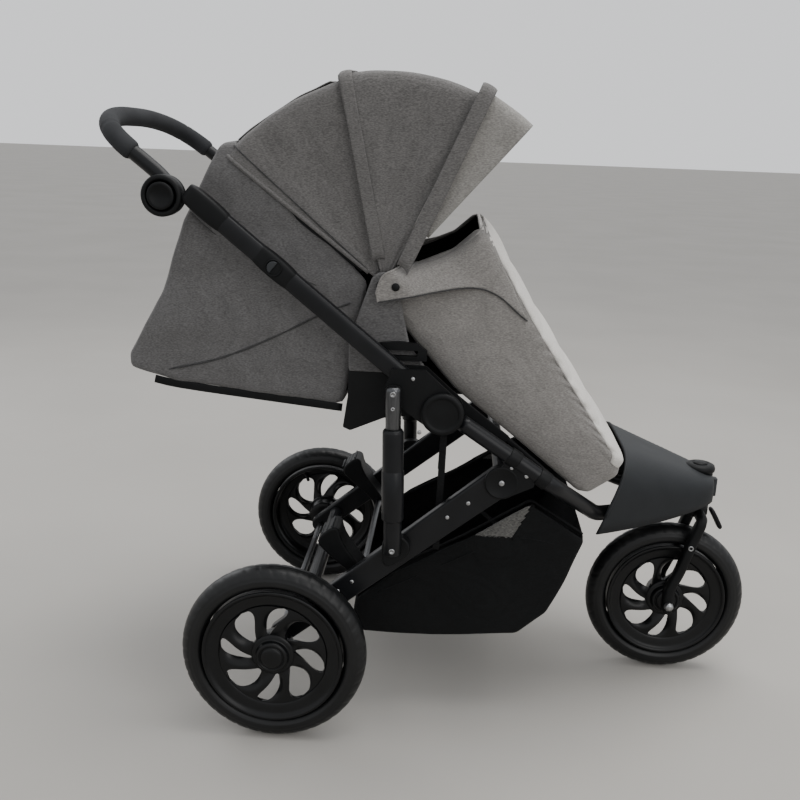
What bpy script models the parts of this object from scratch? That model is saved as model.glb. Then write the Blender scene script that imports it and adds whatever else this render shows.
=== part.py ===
"""A three-wheeled baby stroller: folding chassis, seat unit, canopy, basket and air tyres.

Metres, +Z up, +X forward, +Y to the stroller's left.  The design frame has the rear axle at
X = 0; one empty moves everything so that the origin ends at the bottom centre of the stroller.
"""
import math
import bmesh
import bpy
from mathutils import Matrix, Vector

# ---------------------------------------------------------------- driving dimensions
GAP = 0.0003                 # clearance between touching pieces
RUN = 0.0010                 # clearance between pieces that slide or turn on each other
SIDES = {"right": -1.0, "left": 1.0}

WHEELBASE = 0.684            # rear axle to front axle
TRACK = 0.594                # between the rear wheels' middles
REAR_RADIUS = 0.150
FRONT_RADIUS = 0.145
TYRE_WIDTH = 0.046
TYRE_DEPTH = 0.037           # tread to bead
AXLE_RADIUS = 0.0060
TRAIL = 0.038                # front axle behind the steering axis
WHEEL_STEPS = 32             # facets round a wheel, a multiple of four

FRAME_Y = 0.244              # middle plane of the side tubes
HUB = Vector((0.252, 0.0, 0.552))        # fold axis
HUB_RADIUS = 0.033
TUBE_WIDTH = 0.022
TUBE_HEIGHT = 0.030
TUBE_ANGLE = math.radians(141.2)         # upper tube, from +X towards +Z
TUBE_LENGTH = 0.482
FRONT_TUBE_RADIUS = 0.013
CHEEK = 0.006                # wall of the hub housing
FOLD_RANGE = 128.0           # degrees the upper frame swings forward

GRIP_RADIUS = 0.0155
ARM_RADIUS = 0.0120
TILT_RADIUS = 0.031
TILT = Vector((-0.178, 0.0, 0.861))      # handle tilt axis
BUTTON_RADIUS = 0.0205       # tilt buttons, sunk in the handle joints
BUTTON_DEPTH = 0.010
BUTTON_TRAVEL = 0.004
HANDLE_REACH = 0.122         # tilt axis back to the middle of the crossbar
HANDLE_RISE = 0.114          # tilt axis up to the middle of the crossbar
GRIP_BEND = 0.200            # how far along the crossbar each bend of the grip runs

LEG_PIVOT = Vector((0.350, 0.0, 0.441))
LEG_HALF_HEIGHT = 0.025
LEG_THICK = 0.020
LEG_Y = 0.2360
STRUT_TOP = Vector((0.177, 0.0, 0.586))
STRUT_FOOT = Vector((0.184, 0.0, 0.333))
STRUT_ROD_RADIUS = 0.0125
STRUT_SLEEVE_WALL = 0.0050   # sleeve round the rod
STRUT_END_WALL = 0.0020      # sleeve's narrow foot round the rod
STRUT_ROOM = 0.0002          # between the hub housing and the sleeve
STRUT_SLEEVE_END = 0.196     # foot pivot to the sleeve's mouth
STRUT_SLEEVE_RADIUS = STRUT_ROD_RADIUS + STRUT_SLEEVE_WALL
STRUT_END_RADIUS = STRUT_ROD_RADIUS + STRUT_END_WALL
STRUT_Y = FRAME_Y + TUBE_WIDTH / 2 + GAP + CHEEK + STRUT_ROOM + STRUT_SLEEVE_RADIUS

CANOPY_PIVOT = Vector((0.152, 0.0, 0.737))
CANOPY_RADIUS = 0.309        # rear canopy panel, from the pivot
CANOPY_HALF = 0.2040         # rear canopy panel, from the middle plane
CANOPY_STEP = 0.0070         # each canopy section nests this far outside the one behind it
CLOTH = 0.003                # thickness of the plain cloth solids
REAR_BOW, MIDDLE_BOW, FRONT_BOW, VISOR_EDGE = 140.5, 104.0, 66.0, 49.0   # degrees from +X
SEAT_PLATE_Y = CANOPY_HALF + CLOTH / 2 + 4 * CANOPY_STEP - 0.0225     # outer face of the seat plates

SEAT_HALF = 0.1900           # cloth sides of the seat, from the middle plane
SEAT_HINGE = Vector((0.095, 0.0, 0.572))
REST_HINGE = Vector((0.338, 0.0, 0.548))
FOOT_HALF = 0.160            # half width of the footrest at the back
FOOT_BACK = 0.520            # lower rear edge of the footrest
HEAD_X = WHEELBASE + TRAIL   # steering axis
HEAD_RADIUS = 0.024
FORK_ROOM = 0.0155           # side of the tyre to the middle of a fork leg
FORK_Y = TYRE_WIDTH / 2 + FORK_ROOM
FORK_RADIUS = 0.0120

REAR_REACH = TILT.x - HANDLE_REACH - GRIP_RADIUS
FRONT_REACH = WHEELBASE + FRONT_RADIUS
MIDDLE_X = (REAR_REACH + FRONT_REACH) / 2

# each moving body: where its joint's axis passes, and the body that carries it
PIVOTS = {
    "chassis": (Vector(), None),
    "backrest": (SEAT_HINGE, "chassis"),
    "leg_rest": (REST_HINGE, "chassis"),
    "canopy_middle": (CANOPY_PIVOT, "chassis"),
    "canopy_front": (CANOPY_PIVOT, "canopy_middle"),
    "visor": (CANOPY_PIVOT, "canopy_front"),
    "upper_frame": (HUB, "chassis"),
    "handle": (TILT, "upper_frame"),
    "rear_frame": (LEG_PIVOT, "chassis"),
    "strut": (STRUT_FOOT, "rear_frame"),
    "strut_slide": (STRUT_TOP, "strut"),
    "brake": (Vector((0.130, 0.0, 0.240)), "rear_frame"),
    "rear_wheel_right": (Vector((0.0, -TRACK / 2, REAR_RADIUS)), "rear_frame"),
    "rear_wheel_left": (Vector((0.0, TRACK / 2, REAR_RADIUS)), "rear_frame"),
    "fork": (Vector((HEAD_X, 0.0, 0.33)), "chassis"),
    "front_wheel": (Vector((WHEELBASE, 0.0, FRONT_RADIUS)), "fork"),
    "swivel_lock": (Vector((HEAD_X + HEAD_RADIUS, 0.0, 0.366)), "chassis"),
    "wheel_release": (Vector((HEAD_X + 0.0305, 0.0, 0.320)), "fork"),
    "tilt_button_right": (TILT, "upper_frame"),
    "tilt_button_left": (TILT, "upper_frame"),
    "fold_release_right": (HUB, "upper_frame"),
    "fold_release_left": (HUB, "upper_frame"),
}

FINISHES = {
    "frame": ((0.012, 0.013, 0.015), 0.38, 0.6),
    "moulding": ((0.010, 0.011, 0.012), 0.50, 0.0),
    "grip": ((0.050, 0.052, 0.056), 0.75, 0.0),
    "tyre": ((0.013, 0.014, 0.015), 0.62, 0.0),
    "rim": ((0.011, 0.012, 0.013), 0.45, 0.0),
    "steel": ((0.55, 0.56, 0.57), 0.30, 1.0),
    "melange": ((0.150, 0.148, 0.144), 0.95, 0.0),
    "mesh_cloth": ((0.009, 0.010, 0.011), 0.85, 0.0),
    "lining": ((0.010, 0.010, 0.011), 0.90, 0.0),
}


# ---------------------------------------------------------------- scene and helpers
def clear_scene():
    """Remove every object of the start-up scene."""
    for obj in list(bpy.data.objects):
        bpy.data.objects.remove(obj, do_unlink=True)


def make_collection(name):
    """A new collection in the scene."""
    collection = bpy.data.collections.new(name)
    bpy.context.scene.collection.children.link(collection)
    return collection


def make_finishes():
    """One Principled material for each finish."""
    made = {}
    for name, (colour, roughness, metallic) in FINISHES.items():
        made[name] = bpy.data.materials.new(name)
        made[name].use_nodes = True
        shader = made[name].node_tree.nodes["Principled BSDF"]
        shader.inputs["Base Color"].default_value = (*colour, 1.0)
        shader.inputs["Roughness"].default_value = roughness
        shader.inputs["Metallic"].default_value = metallic
        made[name].diffuse_color = (*colour, 1.0)
    return made


def make_axes():
    """One empty on each body's joint axis, nested as the bodies are."""
    empties = {}
    for body, (pivot, parent) in PIVOTS.items():
        empty = bpy.data.objects.new(body + "_axis", None)
        empty.empty_display_size = 0.03
        PARTS.objects.link(empty)
        if parent is None:
            empty.location = (-MIDDLE_X, 0.0, 0.0)
        else:
            empty.parent = empties[parent]
            empty.location = pivot - PIVOTS[parent][0]
        empties[body] = empty
    return empties


def own(obj, finish, body):
    """Give a piece its finish and hang it on its body's axis, where it stands in the design."""
    obj.data.materials.clear()
    obj.data.materials.append(MATERIALS[finish])
    obj.parent = AXES[body]
    obj.matrix_parent_inverse = Matrix.Translation(-PIVOTS[body][0])
    return obj


def as_mesh(obj):
    """Turn a curve or a modified object into a welded mesh object of the same name and place."""
    name = obj.name
    bpy.context.view_layer.update()
    graph = bpy.context.evaluated_depsgraph_get()
    mesh = bpy.data.meshes.new_from_object(obj.evaluated_get(graph), depsgraph=graph)
    work = bmesh.new()
    work.from_mesh(mesh)
    work.transform(obj.matrix_world)
    bmesh.ops.remove_doubles(work, verts=work.verts, dist=0.00001)
    bmesh.ops.recalc_face_normals(work, faces=work.faces)
    work.to_mesh(mesh)
    work.free()
    bpy.data.objects.remove(obj, do_unlink=True)
    solid = bpy.data.objects.new(name, mesh)
    PARTS.objects.link(solid)
    return solid


def shade(obj, angle=32.0):
    """Smooth shading with the sharp edges kept."""
    obj.data.shade_smooth()
    obj.data.set_sharp_from_angle(angle=math.radians(angle))


def bevel(obj, width, segments=1):
    """Round the sharp edges of a mesh piece."""
    modifier = obj.modifiers.new("edges", "BEVEL")
    modifier.width = width
    modifier.segments = segments
    modifier.limit_method = "ANGLE"
    modifier.angle_limit = math.radians(40)
    return obj


def tube(name, points, radius, sides=3):
    """A round bar along points, with closed ends, as a mesh."""
    curve = bpy.data.curves.new(name, "CURVE")
    curve.dimensions = "3D"
    curve.bevel_depth = radius
    curve.bevel_resolution = sides
    curve.use_fill_caps = True
    spline = curve.splines.new("POLY")
    spline.points.add(len(points) - 1)
    for slot, point in zip(spline.points, points):
        slot.co = (*point, 1.0)
    obj = bpy.data.objects.new(name, curve)
    PARTS.objects.link(obj)
    solid = as_mesh(obj)
    shade(solid)
    return solid


def plate(name, outlines, low, high):
    """A flat piece: outlines in (x, z) give its shape and holes, from y = low to y = high."""
    curve = bpy.data.curves.new(name, "CURVE")
    curve.dimensions = "2D"
    curve.fill_mode = "BOTH"
    curve.extrude = abs(high - low) / 2
    for outline in outlines:
        spline = curve.splines.new("POLY")
        spline.points.add(len(outline) - 1)
        spline.use_cyclic_u = True
        for slot, (x, z) in zip(spline.points, outline):
            slot.co = (x, z, 0.0, 1.0)
    obj = bpy.data.objects.new(name, curve)
    obj.rotation_euler.x = math.pi / 2
    obj.location.y = (low + high) / 2
    PARTS.objects.link(obj)
    solid = as_mesh(obj)
    shade(solid)
    return solid


def cylinder(name, centre, radius, length, axis="Y", steps=24, top_radius=None):
    """A closed cylinder or cone whose axis is Y or Z."""
    mesh = bpy.data.meshes.new(name)
    work = bmesh.new()
    bmesh.ops.create_cone(work, cap_ends=True, segments=steps, radius1=radius,
                          radius2=radius if top_radius is None else top_radius, depth=length)
    if axis == "Y":
        work.transform(Matrix.Rotation(math.pi / 2, 4, "X"))
    work.transform(Matrix.Translation(centre))
    work.to_mesh(mesh)
    work.free()
    obj = bpy.data.objects.new(name, mesh)
    PARTS.objects.link(obj)
    shade(obj)
    return obj


def box(name, low, high):
    """A closed box between two corners."""
    mesh = bpy.data.meshes.new(name)
    work = bmesh.new()
    bmesh.ops.create_cube(work, size=1.0)
    size = [b - a for a, b in zip(low, high)]
    middle = [(a + b) / 2 for a, b in zip(low, high)]
    work.transform(Matrix.Translation(middle) @ Matrix.Diagonal((*size, 1.0)))
    work.to_mesh(mesh)
    work.free()
    obj = bpy.data.objects.new(name, mesh)
    PARTS.objects.link(obj)
    return obj


def turned(name, profile, centre, side=-1.0, closed=True, steps=WHEEL_STEPS):
    """A turned piece on a Y axis: profile is (radius, height), height towards the outside."""
    mesh = bpy.data.meshes.new(name)
    count = len(profile)
    last = count if closed else count - 1
    edges = [(i, (i + 1) % count) for i in range(last)]
    mesh.from_pydata([(r, 0.0, h) for r, h in profile], edges, [])
    obj = bpy.data.objects.new(name, mesh)
    obj.rotation_euler.x = -side * math.pi / 2
    obj.location = centre
    PARTS.objects.link(obj)
    screw = obj.modifiers.new("turn", "SCREW")
    screw.axis = "Z"
    screw.steps = screw.render_steps = steps
    screw.use_merge_vertices = True
    screw.merge_threshold = 0.0001
    screw.use_normal_calculate = True
    solid = as_mesh(obj)
    shade(solid)
    return solid


def swept_panel(name, profile, high, low, steps):
    """Cloth on canopy bows: an open (radius, y) profile swept about the canopy pivot."""
    mesh = bpy.data.meshes.new(name)
    start = math.radians(high)
    verts = [(r * math.cos(start), -r * math.sin(start), y) for r, y in profile]
    mesh.from_pydata(verts, [(i, i + 1) for i in range(len(verts) - 1)], [])
    obj = bpy.data.objects.new(name, mesh)
    obj.rotation_euler.x = -math.pi / 2
    obj.location = CANOPY_PIVOT
    PARTS.objects.link(obj)
    screw = obj.modifiers.new("sweep", "SCREW")
    screw.axis = "Z"
    screw.angle = math.radians(high - low)
    screw.steps = screw.render_steps = steps
    screw.merge_threshold = 0.0001
    wall = obj.modifiers.new("cloth", "SOLIDIFY")
    wall.thickness = CLOTH
    wall.offset = 0.0
    solid = as_mesh(obj)
    shade(solid)
    return solid


def cloth_bag(name, outline, open_edges, half, wall=CLOTH):
    """A cloth shell: an (x, z) outline between two flat sides, open on the numbered edges."""
    mesh = bpy.data.meshes.new(name)
    work = bmesh.new()
    ring = [work.verts.new((x, -half, z)) for x, z in outline]
    face = work.faces.new(ring)
    made = bmesh.ops.extrude_face_region(work, geom=[face])
    moved = [item for item in made["geom"] if isinstance(item, bmesh.types.BMVert)]
    bmesh.ops.translate(work, verts=moved, vec=(0.0, 2 * half, 0.0))
    bmesh.ops.recalc_face_normals(work, faces=work.faces)
    ends = {frozenset((round(v[0], 6), round(v[1], 6)) for v in
                      (outline[i], outline[(i + 1) % len(outline)])) for i in open_edges}
    doomed = [f for f in work.faces if len(f.verts) == 4
              and frozenset((round(v.co.x, 6), round(v.co.z, 6)) for v in f.verts) in ends]
    bmesh.ops.delete(work, geom=doomed, context="FACES")
    work.to_mesh(mesh)
    work.free()
    obj = bpy.data.objects.new(name, mesh)
    PARTS.objects.link(obj)
    shell = obj.modifiers.new("cloth", "SOLIDIFY")
    shell.thickness = wall
    shell.offset = -1.0
    shell.use_even_offset = True
    solid = as_mesh(obj)
    shade(solid)
    return solid


def combine(target, tool, operation):
    """Join a tool to a mesh piece, or cut it away, and remove the tool."""
    modifier = target.modifiers.new("shape", "BOOLEAN")
    modifier.operation = operation
    modifier.solver = "EXACT"
    modifier.object = tool
    finish = as_mesh(target)
    bpy.data.objects.remove(tool, do_unlink=True)
    shade(finish)
    return finish


def arc(centre, radius, start, end, count):
    """Points on an arc in the (x, z) plane, angles in degrees from +X towards +Z."""
    cx, cz = centre
    angles = [math.radians(start + (end - start) * i / (count - 1)) for i in range(count)]
    return [(cx + radius * math.cos(a), cz + radius * math.sin(a)) for a in angles]


def capsule(start, end, start_radius, end_radius, count=7):
    """An outline with two round ends, in the (x, z) plane."""
    (ax, az), (bx, bz) = start, end
    heading = math.degrees(math.atan2(bz - az, bx - ax))
    return (arc(end, end_radius, heading - 90, heading + 90, count)
            + arc(start, start_radius, heading + 90, heading + 270, count))


def rounded_path(points, radius, steps=4):
    """A route with its corners rounded by quadratic curves."""
    points = [Vector(p) for p in points]
    route = [points[0]]
    for before, corner, after in zip(points, points[1:], points[2:]):
        reach = min(radius, (corner - before).length / 2, (after - corner).length / 2)
        first = corner + (before - corner).normalized() * reach
        last = corner + (after - corner).normalized() * reach
        route += curved(first, corner, last, steps)
    route.append(points[-1])
    return route


def curved(first, corner, last, steps):
    """Points of the quadratic curve that leaves first towards corner and arrives at last."""
    return [first * (1 - i / steps) ** 2 + corner * 2 * (i / steps) * (1 - i / steps) + last * (i / steps) ** 2
            for i in range(steps + 1)]


def along(origin, angle, distance, across=0.0):
    """The (x, z) point at a distance from origin along an angle, and across it to its left."""
    c, s = math.cos(angle), math.sin(angle)
    return (origin.x + distance * c - across * s, origin.z + distance * s + across * c)


def span(side, near, far):
    """Y limits of a piece between two distances from the middle plane, on one side."""
    return (side * near, side * far) if side > 0 else (side * far, side * near)


# ---------------------------------------------------------------- wheels
def tyre_profile(radius):
    """A closed, rounded tyre section, running down its outer side."""
    inner = radius - TYRE_DEPTH
    half = TYRE_WIDTH / 2
    crown = [(radius - half * 0.75 * (1 - math.cos(math.radians(a))), half * math.sin(math.radians(a)))
             for a in (66, 33, 0, -33, -66)]
    return [(inner, half * 0.82), (inner + 0.012, half)] + crown + [
        (inner + 0.012, -half), (inner, -half * 0.82)]


def rim_profile(radius, through):
    """A closed rim section with its hub and its axle bore, running down its outer side."""
    bead = radius - TYRE_DEPTH - GAP
    half = TYRE_WIDTH / 2
    bore = AXLE_RADIUS + GAP
    hub = [(bore, half + 0.002), (0.024, half + 0.002)]
    if not through:
        hub = [(bore, half - 0.010), (0.0, half - 0.010), (0.0, half + 0.004), (0.020, half + 0.004),
               (0.024, half)]
    return hub + [(0.027, half - 0.012), (bead - 0.018, half - 0.010), (bead - 0.006, half - 0.001),
                  (bead, half - 0.003), (bead, -half + 0.003), (bead - 0.008, -half + 0.003),
                  (bead - 0.012, 0.0), (0.034, 0.0), (0.030, -half), (bore, -half)]


def rim_windows(name, centre, radius):
    """Four leaf-shaped and four narrow openings, as one cutter between the spokes."""
    bead = radius - TYRE_DEPTH
    outlines = []
    for turn in range(4):
        middle = 45.0 + 90.0 * turn
        leaf = [(0.037, 0), (0.058, 15), (bead - 0.022, 17), (bead - 0.022, -13), (0.060, -15)]
        slot = [(0.040, 45), (bead - 0.021, 55), (bead - 0.021, 37), (0.044, 37)]
        for shape in (leaf, slot):
            outlines.append([(centre.x + r * math.cos(math.radians(middle + a)),
                              centre.z + r * math.sin(math.radians(middle + a))) for r, a in shape])
    return plate(name, outlines, centre.y - 0.05, centre.y + 0.05)


def make_wheel(prefix, body, radius, side, through):
    """A tyre on its rim."""
    centre = PIVOTS[body][0]
    own(turned(prefix + "_tyre", tyre_profile(radius), centre, side), "tyre", body)
    rim = turned(prefix + "_rim", rim_profile(radius, through), centre, side)
    rim = combine(rim, rim_windows("windows", centre, radius), "DIFFERENCE")
    own(rim, "rim", body)


def make_wheels():
    """Two rear wheels, the front wheel and their axles."""
    for word, side in SIDES.items():
        make_wheel("rear_wheel_" + word, "rear_wheel_" + word, REAR_RADIUS, side, False)
    make_wheel("front_wheel", "front_wheel", FRONT_RADIUS, -1.0, True)
    reach = TRACK / 2 + TYRE_WIDTH / 2 - 0.010 - RUN
    own(cylinder("rear_axle", (0.0, 0.0, REAR_RADIUS), AXLE_RADIUS, 2 * reach, steps=16),
        "steel", "rear_frame")
    width = FORK_Y + FORK_RADIUS + 0.004
    own(cylinder("front_axle", (WHEELBASE, 0.0, FRONT_RADIUS), AXLE_RADIUS, 2 * width, steps=16),
        "steel", "fork")


# ---------------------------------------------------------------- front end
def front_tube_route(side):
    """Middle line of a front tube, from the fold hub down into the footrest."""
    return rounded_path([
        (HUB.x + 0.030, side * FRAME_Y, HUB.z - 0.017), (0.430, side * FRAME_Y, 0.4390),
        (0.520, side * (FOOT_HALF - 0.024), 0.3540), (0.600, side * 0.075, 0.3420),
        (HEAD_X - HEAD_RADIUS - 0.006, side * 0.016, 0.3480)], 0.050)


def make_front_frame():
    """Two bent front tubes, the tube across them and the steering head."""
    for word, side in SIDES.items():
        own(tube("front_tube_" + word, front_tube_route(side), FRONT_TUBE_RADIUS), "frame", "chassis")
    inner = LEG_Y - LEG_THICK / 2 - RUN
    own(cylinder("cross_tube", LEG_PIVOT, 0.011, 2 * inner, steps=16), "frame", "chassis")
    head = cylinder("steering_head", (HEAD_X, 0.0, 0.3725), HEAD_RADIUS, 0.075, "Z", 32)
    cap = cylinder("cap", (HEAD_X, 0.0, 0.4035), HEAD_RADIUS + 0.003, 0.013, "Z", 32,
                   HEAD_RADIUS - 0.001)
    own(combine(head, cap, "UNION"), "moulding", "chassis")


def footrest_section(x):
    """Half width, top height and bottom height of the footrest at a place along it."""
    t = (x - FOOT_BACK) / (HEAD_X + HEAD_RADIUS - 0.004 - FOOT_BACK)
    half = FOOT_HALF * (1 - t) ** 0.5 * (1 - 0.35 * t) + 0.030 * t
    return half, 0.452 - 0.062 * t, 0.326 + 0.028 * t * t


def make_footrest():
    """The moulded footrest: a tapering hood over the front tubes, open below and behind."""
    columns, rows = 11, 7
    verts, faces = [], []
    front = HEAD_X + HEAD_RADIUS - 0.004
    for i in range(rows):
        share = i / (rows - 1)
        x = FOOT_BACK + (front - FOOT_BACK) * share
        half, top, bottom = footrest_section(x)
        for j in range(columns):
            turn = math.pi * j / (columns - 1)
            c, s = math.cos(turn), math.sin(turn)
            y = -half * math.copysign(abs(c) ** 0.45, c)
            z = bottom + (top - bottom) * s ** 0.55
            verts.append((x + 0.050 * (1 - share) * s ** 0.55, y, z))
    for i in range(rows - 1):
        for j in range(columns - 1):
            a = i * columns + j
            faces.append((a, a + 1, a + columns + 1, a + columns))
    mesh = bpy.data.meshes.new("footrest")
    mesh.from_pydata(verts, [], faces)
    obj = bpy.data.objects.new("footrest", mesh)
    PARTS.objects.link(obj)
    wall = obj.modifiers.new("wall", "SOLIDIFY")
    wall.thickness = 0.003
    wall.offset = 0.0
    shell = as_mesh(obj)
    clearance = cylinder("clearance", (HEAD_X, 0.0, 0.40), HEAD_RADIUS + 0.0035, 0.30, "Z", 32)
    shell = combine(shell, clearance, "DIFFERENCE")
    own(shell, "moulding", "chassis")


def make_fork():
    """The swivelling fork: a crown under the steering head and two curved legs."""
    crown_z = 0.3150
    crown = cylinder("fork", (HEAD_X, 0.0, 0.3235), HEAD_RADIUS - 0.001, 0.021, "Z", 32)
    for side in SIDES.values():
        route = rounded_path([
            (HEAD_X + 0.004, 0.0, crown_z + 0.002), (HEAD_X + 0.006, side * FORK_Y, crown_z - 0.004),
            (HEAD_X - 0.010, side * FORK_Y, 0.2600), (HEAD_X - 0.024, side * FORK_Y, 0.2100),
            (WHEELBASE, side * FORK_Y, FRONT_RADIUS + 0.030),
            (WHEELBASE, side * FORK_Y, FRONT_RADIUS - 0.018)], 0.024)
        crown = combine(crown, tube("leg", route, FORK_RADIUS), "UNION")
    bore = cylinder("bore", (WHEELBASE, 0.0, FRONT_RADIUS), AXLE_RADIUS + GAP, 0.2, steps=16)
    own(combine(crown, bore, "DIFFERENCE"), "moulding", "fork")
    for word, side in SIDES.items():
        low, high = span(side, FORK_Y + FORK_RADIUS + 0.0005, FORK_Y + FORK_RADIUS + 0.0045)
        middle = (HEAD_X - 0.011, (low + high) / 2, 0.2620)
        own(cylinder("fork_bolt_" + word, middle, 0.006, high - low, steps=12), "steel", "fork")
    lever = plate("wheel_release", [capsule((HEAD_X + 0.0305, 0.320), (HEAD_X + 0.048, 0.290),
                                            0.006, 0.007, 5)], -0.012, 0.012)
    own(bevel(lever, 0.0025), "moulding", "wheel_release")
    knob = box("swivel_lock", (HEAD_X + HEAD_RADIUS + GAP, -0.009, 0.348),
               (HEAD_X + HEAD_RADIUS + 0.010, 0.009, 0.384))
    own(bevel(knob, 0.003), "moulding", "swivel_lock")


# ---------------------------------------------------------------- folding frame
def make_hub_housings():
    """Channels round the fold axis that hold the front tubes and let the upper tubes swing."""
    inner = FRAME_Y - TUBE_WIDTH / 2 - GAP - CHEEK
    outer = FRAME_Y + TUBE_WIDTH / 2 + GAP + CHEEK
    centre = (HUB.x, HUB.z)
    heel = (STRUT_TOP.x, STRUT_TOP.z)
    body = (arc(centre, HUB_RADIUS - 0.001, -110, 62, 12) + [(HUB.x - 0.028, HUB.z + 0.066)]
            + [(STRUT_TOP.x - 0.004, HUB.z + 0.066)] + arc(heel, 0.015, 150, 235, 5)
            + [(HUB.x - 0.040, HUB.z - 0.012)])
    lip = TUBE_HEIGHT / 2 + GAP * 2
    start = math.degrees(TUBE_ANGLE)
    finish = start - FOLD_RANGE
    slot = (arc(centre, lip, start + 90, finish + 270, 12)
            + [along(HUB, math.radians(finish), 0.16, -lip), (HUB.x + 0.05, HUB.z + 0.20),
               along(HUB, TUBE_ANGLE, 0.20, lip)])
    for word, side in SIDES.items():
        housing = plate("hub_housing_" + word, [body], *span(side, inner, outer))
        cut = plate("slot", [slot], *span(side, inner + CHEEK, outer - CHEEK))
        housing = combine(housing, cut, "DIFFERENCE")
        seat = tube("seat", front_tube_route(side), FRONT_TUBE_RADIUS + GAP)
        housing = combine(housing, seat, "DIFFERENCE")
        own(housing, "moulding", "chassis")


def make_upper_tubes():
    """Flat-sided oval tubes from the fold hub up to the handle joints, and the hub covers."""
    half = TUBE_HEIGHT / 2
    top = along(HUB, TUBE_ANGLE, TUBE_LENGTH)
    for word, side in SIDES.items():
        edge = span(side, FRAME_Y - TUBE_WIDTH / 2, FRAME_Y + TUBE_WIDTH / 2)
        bar = plate("upper_tube_" + word, [capsule((HUB.x, HUB.z), top, half, half * 0.6, 9)], *edge)
        disc = cylinder("disc", (TILT.x, (edge[0] + edge[1]) / 2, TILT.z), TILT_RADIUS,
                        TUBE_WIDTH - 0.001, steps=32)
        neck = plate("neck", [capsule(along(HUB, TUBE_ANGLE, TUBE_LENGTH - 0.05), (TILT.x, TILT.z),
                                      half * 0.9, half * 0.8, 7)],
                     *span(side, FRAME_Y - TUBE_WIDTH / 2 + 0.001, FRAME_Y + TUBE_WIDTH / 2 - 0.001))
        bar = combine(combine(bar, neck, "UNION"), disc, "UNION")
        face = FRAME_Y + TUBE_WIDTH / 2
        low, high = span(side, face - BUTTON_DEPTH - RUN, face + 0.01)
        pocket = cylinder("pocket", (TILT.x, (low + high) / 2, TILT.z), BUTTON_RADIUS + RUN, high - low,
                          steps=28)
        bar = combine(bar, pocket, "DIFFERENCE")
        own(bevel(bar, 0.004), "frame", "upper_frame")
        outer = FRAME_Y + TUBE_WIDTH / 2 + GAP + CHEEK + GAP
        low, high = span(side, outer, outer + 0.010)
        cover = cylinder("hub_cover_" + word, (HUB.x, (low + high) / 2, HUB.z), HUB_RADIUS, high - low,
                         steps=32)
        own(bevel(cover, 0.003), "moulding", "upper_frame")


def make_handle():
    """Tilting handle: two arms with discs, the padded crossbar and the tilt buttons."""
    near = FRAME_Y - TUBE_WIDTH / 2 - RUN
    disc_thick = 0.010
    arm_y = near - ARM_RADIUS
    for word, side in SIDES.items():
        low, high = span(side, near - disc_thick, near)
        disc = cylinder("handle_arm_" + word, (TILT.x, (low + high) / 2, TILT.z), TILT_RADIUS - 0.001,
                        disc_thick, steps=32)
        route = [(TILT.x + 0.006, side * arm_y, TILT.z + 0.018),
                 (TILT.x - 0.010, side * arm_y, TILT.z + 0.030), arm_end(side, 0.0)]
        arm = combine(disc, tube("arm", route, ARM_RADIUS), "UNION")
        own(arm, "frame", "handle")
        face = FRAME_Y + TUBE_WIDTH / 2
        low, high = span(side, face - BUTTON_DEPTH + BUTTON_TRAVEL, face + BUTTON_TRAVEL)
        button = cylinder("tilt_button_" + word, (TILT.x, (low + high) / 2, TILT.z), BUTTON_RADIUS,
                          high - low, steps=28)
        own(bevel(button, 0.002), "moulding", "tilt_button_" + word)
    halves = []
    for side in (-1.0, 1.0):
        bend = Vector((TILT.x - HANDLE_REACH, side * (arm_y - 0.004), TILT.z + HANDLE_RISE))
        inward = bend - Vector((0.0, side * GRIP_BEND, 0.0))
        halves.append([arm_end(side, GAP)] + curved(arm_end(side, 0.012), bend, inward, 8))
    own(tube("handle_grip", halves[0] + halves[1][::-1], GRIP_RADIUS), "grip", "handle")


def arm_end(side, beyond):
    """Where a handle arm meets the grip, moved on by a clearance."""
    arm_y = FRAME_Y - TUBE_WIDTH / 2 - RUN - ARM_RADIUS
    share = 0.36
    start = Vector((TILT.x - 0.010, side * arm_y, TILT.z + 0.030))
    stop = Vector((TILT.x - HANDLE_REACH, side * (arm_y - 0.004), TILT.z + HANDLE_RISE))
    return start + (stop - start) * share + (stop - start).normalized() * beyond


def make_fold_releases():
    """A sliding release on each upper tube, with the collar round it."""
    for word, side in SIDES.items():
        outer = FRAME_Y + TUBE_WIDTH / 2 + GAP
        spot = along(HUB, TUBE_ANGLE, 0.336)
        low, high = span(side, outer, outer + 0.004)
        button = cylinder("fold_release_" + word, (spot[0], (low + high) / 2, spot[1]), 0.011,
                          high - low, steps=20)
        own(bevel(button, 0.0015), "moulding", "fold_release_" + word)


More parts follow.
